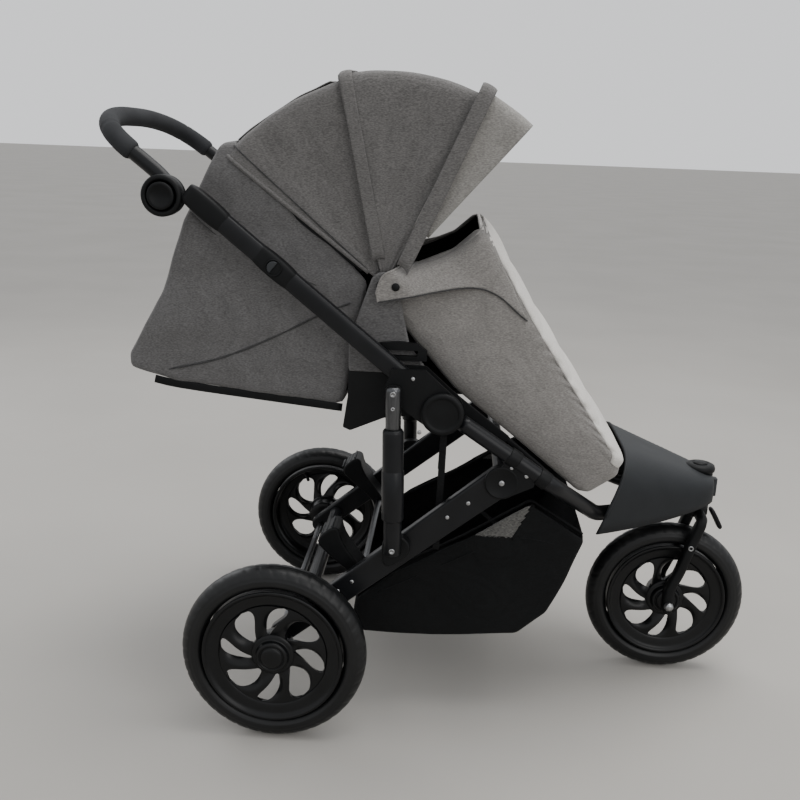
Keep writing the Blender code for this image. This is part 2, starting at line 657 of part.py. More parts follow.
# ---------------------------------------------------------------- rear frame
def make_rear_legs():
    """Flat rear legs on their pivots, the axle beam and the strut feet."""
    low_end = (0.0, REAR_RADIUS)
    pivot = (LEG_PIVOT.x, LEG_PIVOT.z)
    for word, side in SIDES.items():
        inner, outer = LEG_Y - LEG_THICK / 2, LEG_Y + LEG_THICK / 2
        leg = plate("rear_leg_" + word, [capsule(low_end, pivot, 0.019, LEG_HALF_HEIGHT, 9)],
                    *span(side, inner, outer))
        foot = [(STRUT_FOOT.x - 0.018, STRUT_FOOT.z + 0.008), (STRUT_FOOT.x - 0.018, STRUT_FOOT.z - 0.034),
                (STRUT_FOOT.x - 0.006, STRUT_FOOT.z - 0.044), (STRUT_FOOT.x + 0.028, STRUT_FOOT.z - 0.018),
                (STRUT_FOOT.x + 0.026, STRUT_FOOT.z + 0.002), (STRUT_FOOT.x + 0.012, STRUT_FOOT.z + 0.014)]
        block = plate("foot", [foot], *span(side, outer - 0.004, STRUT_Y - STRUT_END_RADIUS - RUN))
        leg = combine(leg, block, "UNION")
        bore = cylinder("bore", (0.0, side * LEG_Y, REAR_RADIUS), AXLE_RADIUS + GAP, 0.06, steps=16)
        leg = combine(leg, bore, "DIFFERENCE")
        own(bevel(leg, 0.002), "frame", "rear_frame")
    beam = LEG_Y - LEG_THICK / 2 - GAP
    own(cylinder("axle_beam", (0.034, 0.0, REAR_RADIUS + 0.029), 0.0130, 2 * beam, steps=20),
        "frame", "rear_frame")


def make_struts():
    """Telescopic struts: a sleeve on the rear leg and a rod that slides in it."""
    axis = (STRUT_TOP - STRUT_FOOT).normalized()
    for word, side in SIDES.items():
        offset = Vector((0.0, side * STRUT_Y, 0.0))
        foot = STRUT_FOOT + offset
        top = STRUT_TOP + offset
        lower = tube("strut_sleeve_" + word, [foot - axis * 0.012, foot + axis * 0.060],
                     STRUT_END_RADIUS)
        sleeve = tube("sleeve", [foot + axis * 0.048, foot + axis * STRUT_SLEEVE_END],
                      STRUT_SLEEVE_RADIUS)
        lower = combine(lower, sleeve, "UNION")
        bore = tube("bore", [foot + axis * 0.030, foot + axis * 0.4], STRUT_ROD_RADIUS + RUN)
        lower = combine(lower, bore, "DIFFERENCE")
        own(lower, "frame", "strut")
        rod = tube("strut_rod_" + word, [foot + axis * 0.140, top + axis * 0.010], STRUT_ROD_RADIUS)
        own(rod, "frame", "strut_slide")


def make_leg_brackets():
    """Saddles under the front tubes that carry the rear legs' pivots."""
    for word, side in SIDES.items():
        inner = LEG_Y + LEG_THICK / 2 + GAP
        outline = (arc((LEG_PIVOT.x, LEG_PIVOT.z), 0.026, 150, 290, 7)
                   + [(LEG_PIVOT.x + 0.050, LEG_PIVOT.z - 0.004), (LEG_PIVOT.x + 0.055, LEG_PIVOT.z + 0.014),
                      (LEG_PIVOT.x + 0.018, LEG_PIVOT.z + 0.040)])
        bracket = plate("leg_bracket_" + word, [outline], *span(side, inner, inner + 0.006))
        saddle = tube("saddle", front_tube_route(side), FRONT_TUBE_RADIUS + GAP)
        own(combine(bracket, saddle, "DIFFERENCE"), "moulding", "chassis")


def make_brake():
    """A foot pedal and its parking pedal on one bar behind the rear legs."""
    axis = PIVOTS["brake"][0]
    own(cylinder("brake_bar", axis, 0.0060, 2 * (LEG_Y - LEG_THICK / 2 - RUN), steps=14),
        "steel", "brake")
    outline = [(axis.x + 0.004, axis.z + 0.0075), (0.093, 0.300), (0.088, 0.338), (0.048, 0.305),
               (0.075, 0.280), (axis.x - 0.012, axis.z + 0.004), (axis.x - 0.006, axis.z - 0.014),
               (axis.x + 0.012, axis.z - 0.010)]
    for word, side in SIDES.items():
        pedal = plate("brake_pedal_" + word, [outline], *span(side, 0.150, 0.205))
        cut = cylinder("bore", axis, 0.0060 + GAP, 0.6, steps=14)
        own(bevel(combine(pedal, cut, "DIFFERENCE"), 0.002), "moulding", "brake")


# ---------------------------------------------------------------- seat unit
def make_seat_frame():
    """Seat side plates with their canopy pivots, the adapters, the base board and back hoop."""
    px, pz = CANOPY_PIVOT.x, CANOPY_PIVOT.z
    side_plate = (arc((px, pz), 0.022, 0, 180, 9)
                  + [(0.100, 0.640), (0.101, 0.560), (0.094, 0.508), (0.106, 0.503), (0.160, 0.527),
                     (0.262, 0.540), (0.352, 0.494), (0.360, 0.506), (0.262, 0.580), (0.196, 0.640)])
    arch = [(0.140, 0.645), (0.150, 0.650), (0.180, 0.653), (0.210, 0.650), (0.224, 0.640),
            (0.224, 0.624), (0.140, 0.624)]
    recess = [(0.152, 0.640), (0.154, 0.631), (0.208, 0.631), (0.210, 0.640)]
    for word, side in SIDES.items():
        inner = SEAT_PLATE_Y
        own(plate("seat_plate_" + word, [side_plate], *span(side, inner, inner + 0.0045)),
            "moulding", "chassis")
        adapter = plate("seat_adapter_" + word, [arch, recess],
                        *span(side, inner + 0.0045 + GAP, FRAME_Y - TUBE_WIDTH / 2 - CHEEK - 2 * GAP))
        own(adapter, "moulding", "chassis")
    own(box("seat_base", (0.110, -SEAT_PLATE_Y + GAP, 0.545), (0.262, SEAT_PLATE_Y - GAP, 0.557)),
        "moulding", "chassis")
    pad = box("seat_pad", (0.112, -SEAT_HALF + 0.012, 0.557 + GAP), (0.332, SEAT_HALF - 0.012, 0.580))
    own(bevel(pad, 0.006), "lining", "chassis")
    own(tube("seat_hoop", hoop_route(), 0.0085), "frame", "chassis")


def hoop_route():
    """The bow behind the seat's back, from pivot to pivot."""
    heading = math.radians(REAR_BOW + 3.5)
    direction = Vector((math.cos(heading), 0.0, math.sin(heading)))
    y = CANOPY_HALF - CLOTH / 2 - 0.0085 - 2 * RUN
    near = CANOPY_PIVOT + direction * 0.040
    far = CANOPY_PIVOT + direction * (CANOPY_RADIUS - 0.014)
    return rounded_path([(near.x, -y, near.z), (far.x, -y, far.z), (far.x, y, far.z), (near.x, y, near.z)],
                        0.060, 5)


def make_back_and_leg_rest():
    """The reclining back board with its pad, and the leg rest board."""
    board = box("backrest_board", (SEAT_HINGE.x - 0.275, -0.168, SEAT_HINGE.z - 0.004),
                (SEAT_HINGE.x, 0.168, SEAT_HINGE.z + 0.004))
    own(board, "moulding", "backrest")
    pad = box("backrest_pad", (SEAT_HINGE.x - 0.270, -0.163, SEAT_HINGE.z + 0.004 + GAP),
              (SEAT_HINGE.x - 0.024, 0.163, SEAT_HINGE.z + 0.028))
    own(bevel(pad, 0.006), "lining", "backrest")
    heading = math.radians(-39.0)
    start = along(REST_HINGE, heading, 0.008)
    stop = along(REST_HINGE, heading, 0.190)
    rest = plate("leg_rest", [capsule(start, stop, 0.006, 0.006, 5)], -0.172, 0.172)
    own(rest, "moulding", "leg_rest")


def make_seat_cloth():
    """Plain solids for the seat's cloth back, the foot cover and the basket."""
    rise = math.radians(REAR_BOW + 7.5)
    corner = along(CANOPY_PIVOT, rise, CANOPY_RADIUS)
    back = [(0.118, 0.712), corner, (-0.142, 0.868), (-0.168, 0.822), (-0.203, 0.705), (-0.258, 0.604),
            (-0.250, 0.585), (-0.180, 0.560), (-0.030, 0.546), (0.088, 0.535), (0.092, 0.560)]
    own(cloth_bag("seat_back", back, {0, 9, 10}, SEAT_HALF + 0.010), "melange", "chassis")
    cover = [(0.146, 0.712), (0.160, 0.744), (0.200, 0.772), (0.260, 0.803), (0.303, 0.837),
             (0.345, 0.788), (0.396, 0.702), (0.454, 0.618), (0.515, 0.530), (0.560, 0.460),
             (0.547, 0.430), (0.500, 0.404), (0.484, 0.406), (0.383, 0.486), (0.265, 0.576)]
    own(cloth_bag("foot_cover", cover, {0, 1, 2, 3, 12, 13, 14}, SEAT_HALF + 0.004, 0.006),
        "melange", "chassis")
    basket = [(0.110, 0.131), (0.400, 0.148), (0.446, 0.192), (0.492, 0.325), (0.400, 0.388),
              (0.185, 0.255), (0.122, 0.200)]
    own(cloth_bag("basket", basket, {3, 4, 5}, 0.200), "mesh_cloth", "chassis")


# ---------------------------------------------------------------- canopy
def bow_profile(level, start, corner=0.050):
    """A canopy section: up one side, round the corner, over the crowned roof and down again."""
    radius = CANOPY_RADIUS + level * CANOPY_STEP
    half = CANOPY_HALF + level * CANOPY_STEP
    rise = 0.006
    side = [(start, -half), (radius * 0.55, -half), (radius - corner, -half)]
    turn = [(radius - corner + corner * math.sin(math.radians(a)),
             -half + corner - corner * math.cos(math.radians(a))) for a in (30, 60, 90)]
    crown = [(radius + rise * 0.75, -half * 0.45)]
    left = side + turn + crown
    return left + [(radius + rise, 0.0)] + [(r, -y) for r, y in reversed(left)]


def make_canopy():
    """Three nested cloth sections, the front bow and the visor."""
    own(swept_panel("canopy_rear", bow_profile(0, 0.030), REAR_BOW, MIDDLE_BOW + 0.5, 7),
        "melange", "chassis")
    own(swept_panel("canopy_middle_section", bow_profile(1, 0.030), MIDDLE_BOW, FRONT_BOW, 7),
        "melange", "canopy_middle")
    own(swept_panel("canopy_front_bow", bow_profile(3, 0.030), FRONT_BOW - 0.5, FRONT_BOW - 6.0, 2),
        "melange", "canopy_front")
    own(swept_panel("canopy_visor", bow_profile(2, 0.170), FRONT_BOW - 3.0, VISOR_EDGE, 3),
        "melange", "visor")


clear_scene()
PARTS = make_collection("baby_stroller")
MATERIALS = make_finishes()
AXES = make_axes()
make_wheels()
make_front_frame()
make_footrest()
make_fork()
make_hub_housings()
make_leg_brackets()
make_upper_tubes()
make_handle()
make_fold_releases()
make_rear_legs()
make_struts()
make_brake()
make_seat_frame()
make_back_and_leg_rest()
make_seat_cloth()
make_canopy()
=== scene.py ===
"""The looks of a three-wheeled baby stroller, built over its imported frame.

Lengths are metres. Pieces are worked out with x from the rear axle (+X forward),
y from the middle plane (+Y to the stroller's left) and z from the floor, and
``put`` moves them into the frame's own place.
"""

import logging
import math
from dataclasses import dataclass
from enum import Enum
from typing import Optional, Sequence, Tuple

import bmesh
import bpy
import numpy as np
from mathutils import Matrix, Vector


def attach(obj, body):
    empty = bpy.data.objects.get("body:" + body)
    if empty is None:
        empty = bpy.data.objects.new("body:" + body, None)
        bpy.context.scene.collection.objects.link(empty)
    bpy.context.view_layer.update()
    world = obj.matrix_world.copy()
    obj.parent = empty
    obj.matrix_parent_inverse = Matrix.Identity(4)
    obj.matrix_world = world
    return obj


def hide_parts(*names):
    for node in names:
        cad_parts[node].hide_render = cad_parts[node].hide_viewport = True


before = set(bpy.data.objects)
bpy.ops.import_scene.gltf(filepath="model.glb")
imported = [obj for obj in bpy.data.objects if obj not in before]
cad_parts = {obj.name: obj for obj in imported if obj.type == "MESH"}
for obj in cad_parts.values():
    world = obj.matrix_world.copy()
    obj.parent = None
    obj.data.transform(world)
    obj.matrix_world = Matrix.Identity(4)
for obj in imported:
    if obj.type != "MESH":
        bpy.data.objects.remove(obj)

Array = np.ndarray
Obj = bpy.types.Object
Mat = bpy.types.Material
Point = Tuple[float, float, float]
Flat = Sequence[Tuple[float, float]]

LOG = logging.getLogger("stroller")
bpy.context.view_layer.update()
MIDDLE_X = 0.25675
SIDES = {"right": -1.0, "left": 1.0}
Y_AXIS = (0.0, 1.0, 0.0)
Z_AXIS = (0.0, 0.0, 1.0)


# ------------------------------------------------------------------ shapes
def chaikin(points: Array, rounds: int = 2, closed: bool = False) -> Array:
    """Rounds a polyline: every edge gives its points at 1/4 and 3/4, over and over.

    Args:
        points: (n, k) corners.
        rounds: how many times the corners are cut.
        closed: whether the last point joins the first.
    Returns:
        The rounded (m, k) line; an open line keeps its two ends.
    """
    line = np.asarray(points, float)
    for _ in range(rounds):
        nxt = np.roll(line, -1, 0) if closed else line[1:]
        cur = line if closed else line[:-1]
        cut = np.stack([cur * 0.75 + nxt * 0.25, cur * 0.25 + nxt * 0.75], 1).reshape(-1, line.shape[1])
        line = cut if closed else np.vstack([line[:1], cut[1:-1], line[-1:]])
    return line


def eased(corners: Array, reach: float, closed: bool = False) -> Array:
    """Adds a point ``reach`` before and after each corner, so rounding stays near the corner.

    Args:
        corners: (n, k) corners.
        reach: how far from a corner its rounding may start, at most two fifths of the edge.
        closed: whether the last corner joins the first.
    Returns:
        The longer line, with its ends kept if it is open.
    """
    before, here, after = (np.roll(corners, 1, 0), corners, np.roll(corners, -1, 0)) if closed else (
        corners[:-2], corners[1:-1], corners[2:])
    back, fore = before - here, after - here
    share_b = np.minimum(0.4, reach / np.linalg.norm(back, axis=1))[:, None]
    share_f = np.minimum(0.4, reach / np.linalg.norm(fore, axis=1))[:, None]
    line = np.stack([here + back * share_b, here, here + fore * share_f], 1).reshape(-1, corners.shape[1])
    return line if closed else np.vstack([corners[:1], line, corners[-1:]])


def resample(points: Array, count: int, closed: bool = False) -> Array:
    """Spaces ``count`` points evenly by arc length along a line.

    Args:
        points: (n, k) line.
        count: points wanted.
        closed: whether the line closes on itself, in which case its end isn't repeated.
    Returns:
        (count, k) points.
    """
    line = np.vstack([points, points[:1]]) if closed else np.asarray(points, float)
    step = np.r_[0.0, np.cumsum(np.linalg.norm(np.diff(line, axis=0), axis=1))]
    at = np.linspace(0.0, step[-1], count, endpoint=not closed)
    return np.stack([np.interp(at, step, line[:, k]) for k in range(line.shape[1])], 1)


def bent(start: Array, corner: Array, stop: Array, count: int) -> Array:
    """A smooth bend towards a corner: (1 - t)^2 A + 2 t (1 - t) C + t^2 B."""
    t = np.linspace(0, 1, count)[:, None]
    return (1 - t) ** 2 * start + 2 * t * (1 - t) * corner + t ** 2 * stop


def circle(radius: float, count: int = 20) -> Array:
    """A round section: radius * (cos a, sin a)."""
    a = np.linspace(0, 2 * np.pi, count, endpoint=False)
    return radius * np.stack([np.cos(a), np.sin(a)], 1)


def oval(width: float, height: float, power: float = 4.0, count: int = 28) -> Array:
    """A flat-sided section: |u / width|^power + |v / height|^power = 1, for half sizes.

    Args:
        width: half width along the section's first direction.
        height: half height along its second.
        power: 2 is an ellipse and more is squarer.
        count: points round it.
    Returns:
        (count, 2) section points.
    """
    a = np.linspace(0, 2 * np.pi, count, endpoint=False)
    c, s = np.cos(a), np.sin(a)
    return np.stack([width * np.sign(c) * np.abs(c) ** (2 / power),
                     height * np.sign(s) * np.abs(s) ** (2 / power)], 1)


def put(name: str, verts: Array, faces: Sequence, smooth: bool = True) -> Obj:
    """Puts points and faces into a new object at the origin, its place in its mesh."""
    mesh = bpy.data.meshes.new(name)
    mesh.from_pydata((np.asarray(verts, float) - (MIDDLE_X, 0, 0)).tolist(), [], list(faces))
    mesh.validate()
    mesh.polygons.foreach_set("use_smooth", np.full(len(mesh.polygons), smooth))
    obj = bpy.data.objects.new(name, mesh)
    bpy.context.scene.collection.objects.link(obj)
    return obj


def grid(name: str, points: Array, wrap: bool = False, caps: bool = False, keep: Optional[Array] = None,
         loop: bool = False) -> Obj:
    """A surface on a (rows, columns, 3) grid of points.

    Args:
        name: the new object's name.
        points: the grid; rows run along the shape and columns round it.
        wrap: columns close on themselves.
        caps: close the first and last row with a fan round their middle point.
        keep: (rows - 1, columns) mask of the quads to keep.
        loop: rows close on themselves too.
    Returns:
        The new object.
    """
    rows, cols = points.shape[:2]
    i, j = np.meshgrid(np.arange(rows if loop else rows - 1), np.arange(cols if wrap else cols - 1),
                       indexing="ij")
    i2, j2 = (i + 1) % rows, (j + 1) % cols
    quads = np.stack([i * cols + j, i * cols + j2, i2 * cols + j2, i2 * cols + j], -1)
    quads = quads[keep] if keep is not None else quads.reshape(-1, 4)
    verts, faces = points.reshape(-1, 3), quads.tolist()
    if caps:
        ring = np.arange(cols)
        ends = np.stack([points[0].mean(0), points[-1].mean(0)])
        first = np.stack([np.full(cols, len(verts)), np.roll(ring, -1), ring], 1)
        base = (rows - 1) * cols
        last = np.stack([np.full(cols, len(verts) + 1), base + ring, base + np.roll(ring, -1)], 1)
        verts = np.vstack([verts, ends])
        faces += first.tolist() + last.tolist()
    return put(name, verts, faces)


def outward(obj: Obj, merge: float = 0.00001) -> Obj:
    """Merges points closer than a distance and turns a shell's faces outwards."""
    work = bmesh.new()
    work.from_mesh(obj.data)
    bmesh.ops.remove_doubles(work, verts=work.verts, dist=merge)
    bmesh.ops.recalc_face_normals(work, faces=work.faces)
    work.to_mesh(obj.data)
    work.free()
    return obj


def frames(path: Array, side: Point) -> Tuple[Array, Array]:
    """Two directions square to a path: N = side x T, B = T x N, with T its tangent."""
    t = np.gradient(path, axis=0)
    t /= np.linalg.norm(t, axis=1, keepdims=True)
    n = np.cross(np.asarray(side, float), t)
    n /= np.maximum(np.linalg.norm(n, axis=1, keepdims=True), 1e-9)
    return n, np.cross(t, n)


def sweep(name: str, path: Array, section: Array, side: Point = Y_AXIS, scale: Optional[Array] = None) -> Obj:
    """A section carried along a path: P(i, j) = path_i + scale_i (u_j N_i + v_j B_i).

    Args:
        name: the new object's name.
        path: (n, 3) middle line.
        section: (m, 2) closed section.
        side: a direction that is never along the path; B follows it.
        scale: (n,) size factor along the path.
    Returns:
        A closed tube.
    """
    n, b = frames(path, side)
    k = np.ones(len(path)) if scale is None else scale
    across = section[None, :, :1] * n[:, None] + section[None, :, 1:] * b[:, None]
    pts = path[:, None] + k[:, None, None] * across
    return outward(grid(name, pts, wrap=True, caps=True))


def rounded_rod(name: str, start: Point, stop: Point, radius: float, edge: float = 0.0015,
                side: Point = Y_AXIS, power: float = 2.0, flat: float = 1.0) -> Obj:
    """A straight rod whose ends turn in over a quarter round of size ``edge``."""
    a, b = np.array(start, float), np.array(stop, float)
    length = float(np.linalg.norm(b - a))
    q = np.linspace(0, np.pi / 2, 5)
    s = np.r_[edge * (1 - np.sin(q[::-1])), length - edge * (1 - np.sin(q))]
    k = np.r_[1 - edge / radius * (1 - np.cos(q[::-1])), 1 - edge / radius * (1 - np.cos(q))]
    return sweep(name, a + (b - a) * (s / length)[:, None], oval(radius, radius * flat, power), side, k)


def turned(name: str, profile: Flat, centre: Point, axis: Point = Y_AXIS, steps: int = 40,
           closed: bool = False) -> Obj:
    """A profile of (radius, height) turned about an axis: P = C + r (cos a U + sin a V) + h A.

    Args:
        name: the new object's name.
        profile: (radius, height) pairs.
        centre: where height is nought.
        axis: the turning axis.
        steps: facets round it.
        closed: the profile is a ring section, as a tyre's.
    Returns:
        A closed solid.
    """
    w = np.array(axis, float) / np.linalg.norm(axis)
    u = np.cross(w, (0.0, 1.0, 0.0) if abs(w[1]) < 0.9 else (1.0, 0.0, 0.0))
    u /= np.linalg.norm(u)
    a = np.linspace(0, 2 * np.pi, steps, endpoint=False)
    ring = np.cos(a)[:, None] * u + np.sin(a)[:, None] * np.cross(w, u)
    p = np.asarray(profile, float)
    pts = np.array(centre) + p[:, :1, None] * ring[None] + p[:, 1, None, None] * w
    return outward(grid(name, pts, wrap=True, caps=not closed, loop=closed))


def plate(name: str, outline: Array, low: float, high: float, edge: float = 0.002, segments: int = 2) -> Obj:
    """A flat piece: an (x, z) outline between two y planes, its edges rounded."""
    n = len(outline)
    verts = np.concatenate([np.insert(outline, 1, y, axis=1) for y in (min(low, high), max(low, high))])
    ring = np.arange(n)
    walls = np.stack([ring, np.roll(ring, -1), np.roll(ring, -1) + n, ring + n], 1).tolist()
    obj = outward(put(name, verts, walls + [list(range(n)), list(range(2 * n - 1, n - 1, -1))]))
    return bevelled(obj, edge, segments)


def bevelled(obj: Obj, width: float, segments: int = 2) -> Obj:
    """Adds a rounding of the sharp edges, with smooth shading kept off the flats."""
    mod = obj.modifiers.new("round", "BEVEL")
    mod.width, mod.segments, mod.limit_method = width, segments, "ANGLE"
    mod.angle_limit = math.radians(35)
    mod.harden_normals = True
    return obj


def walled(obj: Obj, thickness: float, offset: float = 0.0) -> Obj:
    """Faces a sheet away from its middle and gives it thickness, inside for offset -1."""
    co, normal = np.zeros((2, len(obj.data.polygons) * 3), np.float32)
    obj.data.polygons.foreach_get("center", co)
    obj.data.polygons.foreach_get("normal", normal)
    co, normal = co.reshape(-1, 3), normal.reshape(-1, 3)
    if np.sum((co - co.mean(0)) * normal) < 0:
        obj.data.flip_normals()
    mod = obj.modifiers.new("wall", "SOLIDIFY")
    mod.thickness, mod.offset, mod.use_even_offset = thickness, offset, False
    return obj


def smoothed(obj: Obj, levels: int = 1) -> Obj:
    """Adds a subdivision surface, the same in view and render."""
    mod = obj.modifiers.new("smooth", "SUBSURF")
    mod.levels = mod.render_levels = levels
    return obj


def ripple(x: Array, z: Array, scale: float, seed: float) -> Array:
    """Soft uneven waves from -1 to 1: a sum of sines of turned, stretched x and z."""
    a = np.sin(scale * (x + 0.6 * z) + seed) * np.cos(scale * 0.7 * (z - 0.3 * x) + 2 * seed)
    return 0.6 * a + 0.4 * np.sin(scale * 1.7 * (z + 0.2 * x) + 3 * seed + 1.3 * np.sin(scale * 0.6 * x))


def arc(centre: Tuple[float, float], radius: float, start: float, stop: float, count: int = 12) -> Array:
    """Points round a centre in the x z plane, from one angle to another in degrees."""
    a = np.radians(np.linspace(start, stop, count))
    return np.stack([centre[0] + radius * np.cos(a), centre[1] + radius * np.sin(a)], 1)


def ride(obj: Obj, body: str, finish: Mat, inner: Optional[Mat] = None) -> Obj:
    """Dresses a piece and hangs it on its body.

    Args:
        obj: the piece.
        body: the body it moves with.
        finish: its material.
        inner: the lining of a walled sheet, if it has one.
    Returns:
        The piece.
    """
    obj.data.materials.clear()
    obj.data.materials.append(finish)
    if inner:
        obj.data.materials.append(inner)
        obj.modifiers["wall"].material_offset = 1
    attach(obj, body)
    LOG.info("%s rides on %s", obj.name, body)
    return obj


# ------------------------------------------------------------------ finishes
def linear(rgb: Sequence[float]) -> Tuple[float, float, float, float]:
    """Turns display values of 0 to 255 into the linear colour a shader takes."""
    c = np.asarray(rgb, float) / 255
    lin = np.where(c <= 0.04045, c / 12.92, ((c + 0.055) / 1.055) ** 2.4)
    return (float(lin[0]), float(lin[1]), float(lin[2]), 1.0)


class Tree:
    """A material's node tree, with short calls to add and join nodes."""

    def __init__(self, name: str) -> None:
        """Starts a material that holds one Principled shader."""
        self.mat = bpy.data.materials.new(name)
        self.mat.use_nodes = True
        self.nodes, self.links = self.mat.node_tree.nodes, self.mat.node_tree.links
        self.shader = self.nodes["Principled BSDF"]

    def add(self, kind: str, **values: object) -> bpy.types.Node:
        """Adds a node and sets its properties, or its input sockets where it has no such property."""
        node = self.nodes.new(kind)
        for key, value in values.items():
            if hasattr(node, key):
                setattr(node, key, value)
            else:
                node.inputs[key.replace("_", " ")].default_value = value
        return node

    def join(self, a: bpy.types.NodeSocket, b: bpy.types.NodeSocket) -> None:
        """Joins an output socket to an input socket."""
        self.links.new(a, b)

    def place(self, scale: Point = (1, 1, 1), turn: Point = (0, 0, 0)) -> bpy.types.NodeSocket:
        """Object coordinates, scaled and turned, in metres."""
        where = self.add("ShaderNodeTexCoord")
        mapping = self.add("ShaderNodeMapping")
        mapping.inputs["Scale"].default_value = scale
        mapping.inputs["Rotation"].default_value = turn
        self.join(where.outputs["Object"], mapping.inputs["Vector"])
        return mapping.outputs["Vector"]

    def noise(self, at: bpy.types.NodeSocket, scale: float, detail: float = 3.0) -> bpy.types.NodeSocket:
        """Noise of so many cells a metre."""
        node = self.add("ShaderNodeTexNoise", Scale=scale, Detail=detail)
        self.join(at, node.inputs["Vector"])
        return node.outputs["Fac"]

    def waves(self, at: bpy.types.NodeSocket, scale: float, way: str,
              warp: float = 0.0) -> bpy.types.NodeSocket:
        """Straight waves along X, Y or Z, so many a metre."""
        node = self.add("ShaderNodeTexWave", bands_direction=way, Scale=scale / 3.18, Distortion=warp)
        self.join(at, node.inputs["Vector"])
        return node.outputs["Fac"]

    def blend(self, factor: bpy.types.NodeSocket, low: Sequence[float], high: Sequence[float],
              near: float = 0.35, far: float = 0.65) -> bpy.types.NodeSocket:
        """A colour ramp from low to high between two factor values."""
        ramp = self.add("ShaderNodeValToRGB")
        ramp.color_ramp.elements[0].position, ramp.color_ramp.elements[1].position = near, far
        ramp.color_ramp.elements[0].color, ramp.color_ramp.elements[1].color = linear(low), linear(high)
        self.join(factor, ramp.inputs["Fac"])
        return ramp.outputs["Color"]

    def sum(self, a: bpy.types.NodeSocket, b: bpy.types.NodeSocket,
            share: float = 1.0) -> bpy.types.NodeSocket:
        """a + share * b."""
        node = self.add("ShaderNodeMath", operation="MULTIPLY_ADD")
        self.join(b, node.inputs[0])
        node.inputs[1].default_value = share
        self.join(a, node.inputs[2])
        return node.outputs[0]

    def times(self, a: bpy.types.NodeSocket, b: bpy.types.NodeSocket) -> bpy.types.NodeSocket:
        """a * b."""
        node = self.add("ShaderNodeMath", operation="MULTIPLY")
        self.join(a, node.inputs[0])
        self.join(b, node.inputs[1])
        return node.outputs[0]

    def bump(self, height: bpy.types.NodeSocket, depth: float) -> None:
        """Raises the surface by ``depth`` metres for a height of one."""
        node = self.add("ShaderNodeBump", Distance=depth, Strength=1.0)
        self.join(height, node.inputs["Height"])
        self.join(node.outputs["Normal"], self.shader.inputs["Normal"])

    def gloss(self, factor: bpy.types.NodeSocket, low: float, high: float) -> None:
        """Lets roughness wander between two values."""
        node = self.add("ShaderNodeMapRange")
        node.inputs["To Min"].default_value, node.inputs["To Max"].default_value = low, high
        self.join(factor, node.inputs["Value"])
        self.join(node.outputs["Result"], self.shader.inputs["Roughness"])


@dataclass(frozen=True)
class Woven:
    """A melange cloth: pale and dark yarns mixed in a fine plain weave."""

    name: str
    pale: Tuple[int, int, int]
    dark: Tuple[int, int, int]
    pitch: float = 0.0016
    relief: float = 0.00035
    sheen: float = 0.15

    def make(self) -> Mat:
        """Speckled yarn colour, a crossed-wave weave and slow soiling.

        Returns:
            The material.
        """
        t = Tree(self.name)
        at = t.place()
        stretched = t.place(scale=(0.35, 1.0, 1.0))
        speck = t.sum(t.noise(stretched, 760.0, 2.0), t.noise(at, 30.0, 2.0), 0.16)
        t.join(t.blend(speck, self.dark, self.pale, 0.36, 0.80), t.shader.inputs["Base Color"])
        pitch = 1.0 / self.pitch
        weave = t.times(t.waves(t.place(turn=(0, math.radians(38), 0)), pitch, "X"), t.waves(at, pitch, "Y"))
        weave = t.sum(weave, t.waves(t.place(turn=(0, math.radians(38), 0)), pitch, "Z"), 0.6)
        t.bump(t.sum(weave, t.noise(at, 60.0, 4.0), 1.2), self.relief)
        t.shader.inputs["Roughness"].default_value = 0.92
        t.shader.inputs["Sheen Weight"].default_value = self.sheen
        t.shader.inputs["Sheen Roughness"].default_value = 0.5
        t.shader.inputs["Specular IOR Level"].default_value = 0.2
        return t.mat


@dataclass(frozen=True)
class Moulded:
    """Textured moulded plastic, rubber or powder coat: a fine grain with paler worn patches."""

    name: str
    colour: Tuple[int, int, int]
    rough: float
    grain: float = 1400.0
    relief: float = 0.00012
    metal: float = 0.0
    coat: float = 0.0
    spread: float = 4.0
    shine: float = 0.16

    def make(self) -> Mat:
        """Grain bump, a wandering gloss and a slight change of shade.

        Returns:
            The material.
        """
        t = Tree(self.name)
        at = t.place()
        slow = t.noise(at, 26.0, 4.0)
        low = tuple(max(c - self.spread * 0.5, 0) for c in self.colour)
        high = tuple(c + self.spread * 0.5 for c in self.colour)
        t.join(t.blend(slow, low, high), t.shader.inputs["Base Color"])
        t.gloss(slow, self.rough - 0.06, self.rough + 0.08)
        t.bump(t.noise(at, self.grain, 2.0), self.relief)
        t.shader.inputs["Metallic"].default_value = self.metal
        t.shader.inputs["Specular IOR Level"].default_value = self.shine
        t.shader.inputs["Coat Weight"].default_value = self.coat
        t.shader.inputs["Coat Roughness"].default_value = 0.25
        return t.mat


@dataclass(frozen=True)
class Turned:
    """Bright metal with fine lathe lines."""

    name: str
    colour: Tuple[int, int, int]
    rough: float

    def make(self) -> Mat:
        """Metal whose gloss follows fine lines.

        Returns:
            The material.
        """
        t = Tree(self.name)
        lines = t.noise(t.place(scale=(40, 900, 40)), 1.0, 4.0)
        t.join(t.blend(lines, tuple(c * 0.8 for c in self.colour), self.colour),
               t.shader.inputs["Base Color"])
        t.gloss(lines, self.rough - 0.08, self.rough + 0.12)
        t.bump(lines, 0.00004)
        t.shader.inputs["Metallic"].default_value = 1.0
        return t.mat


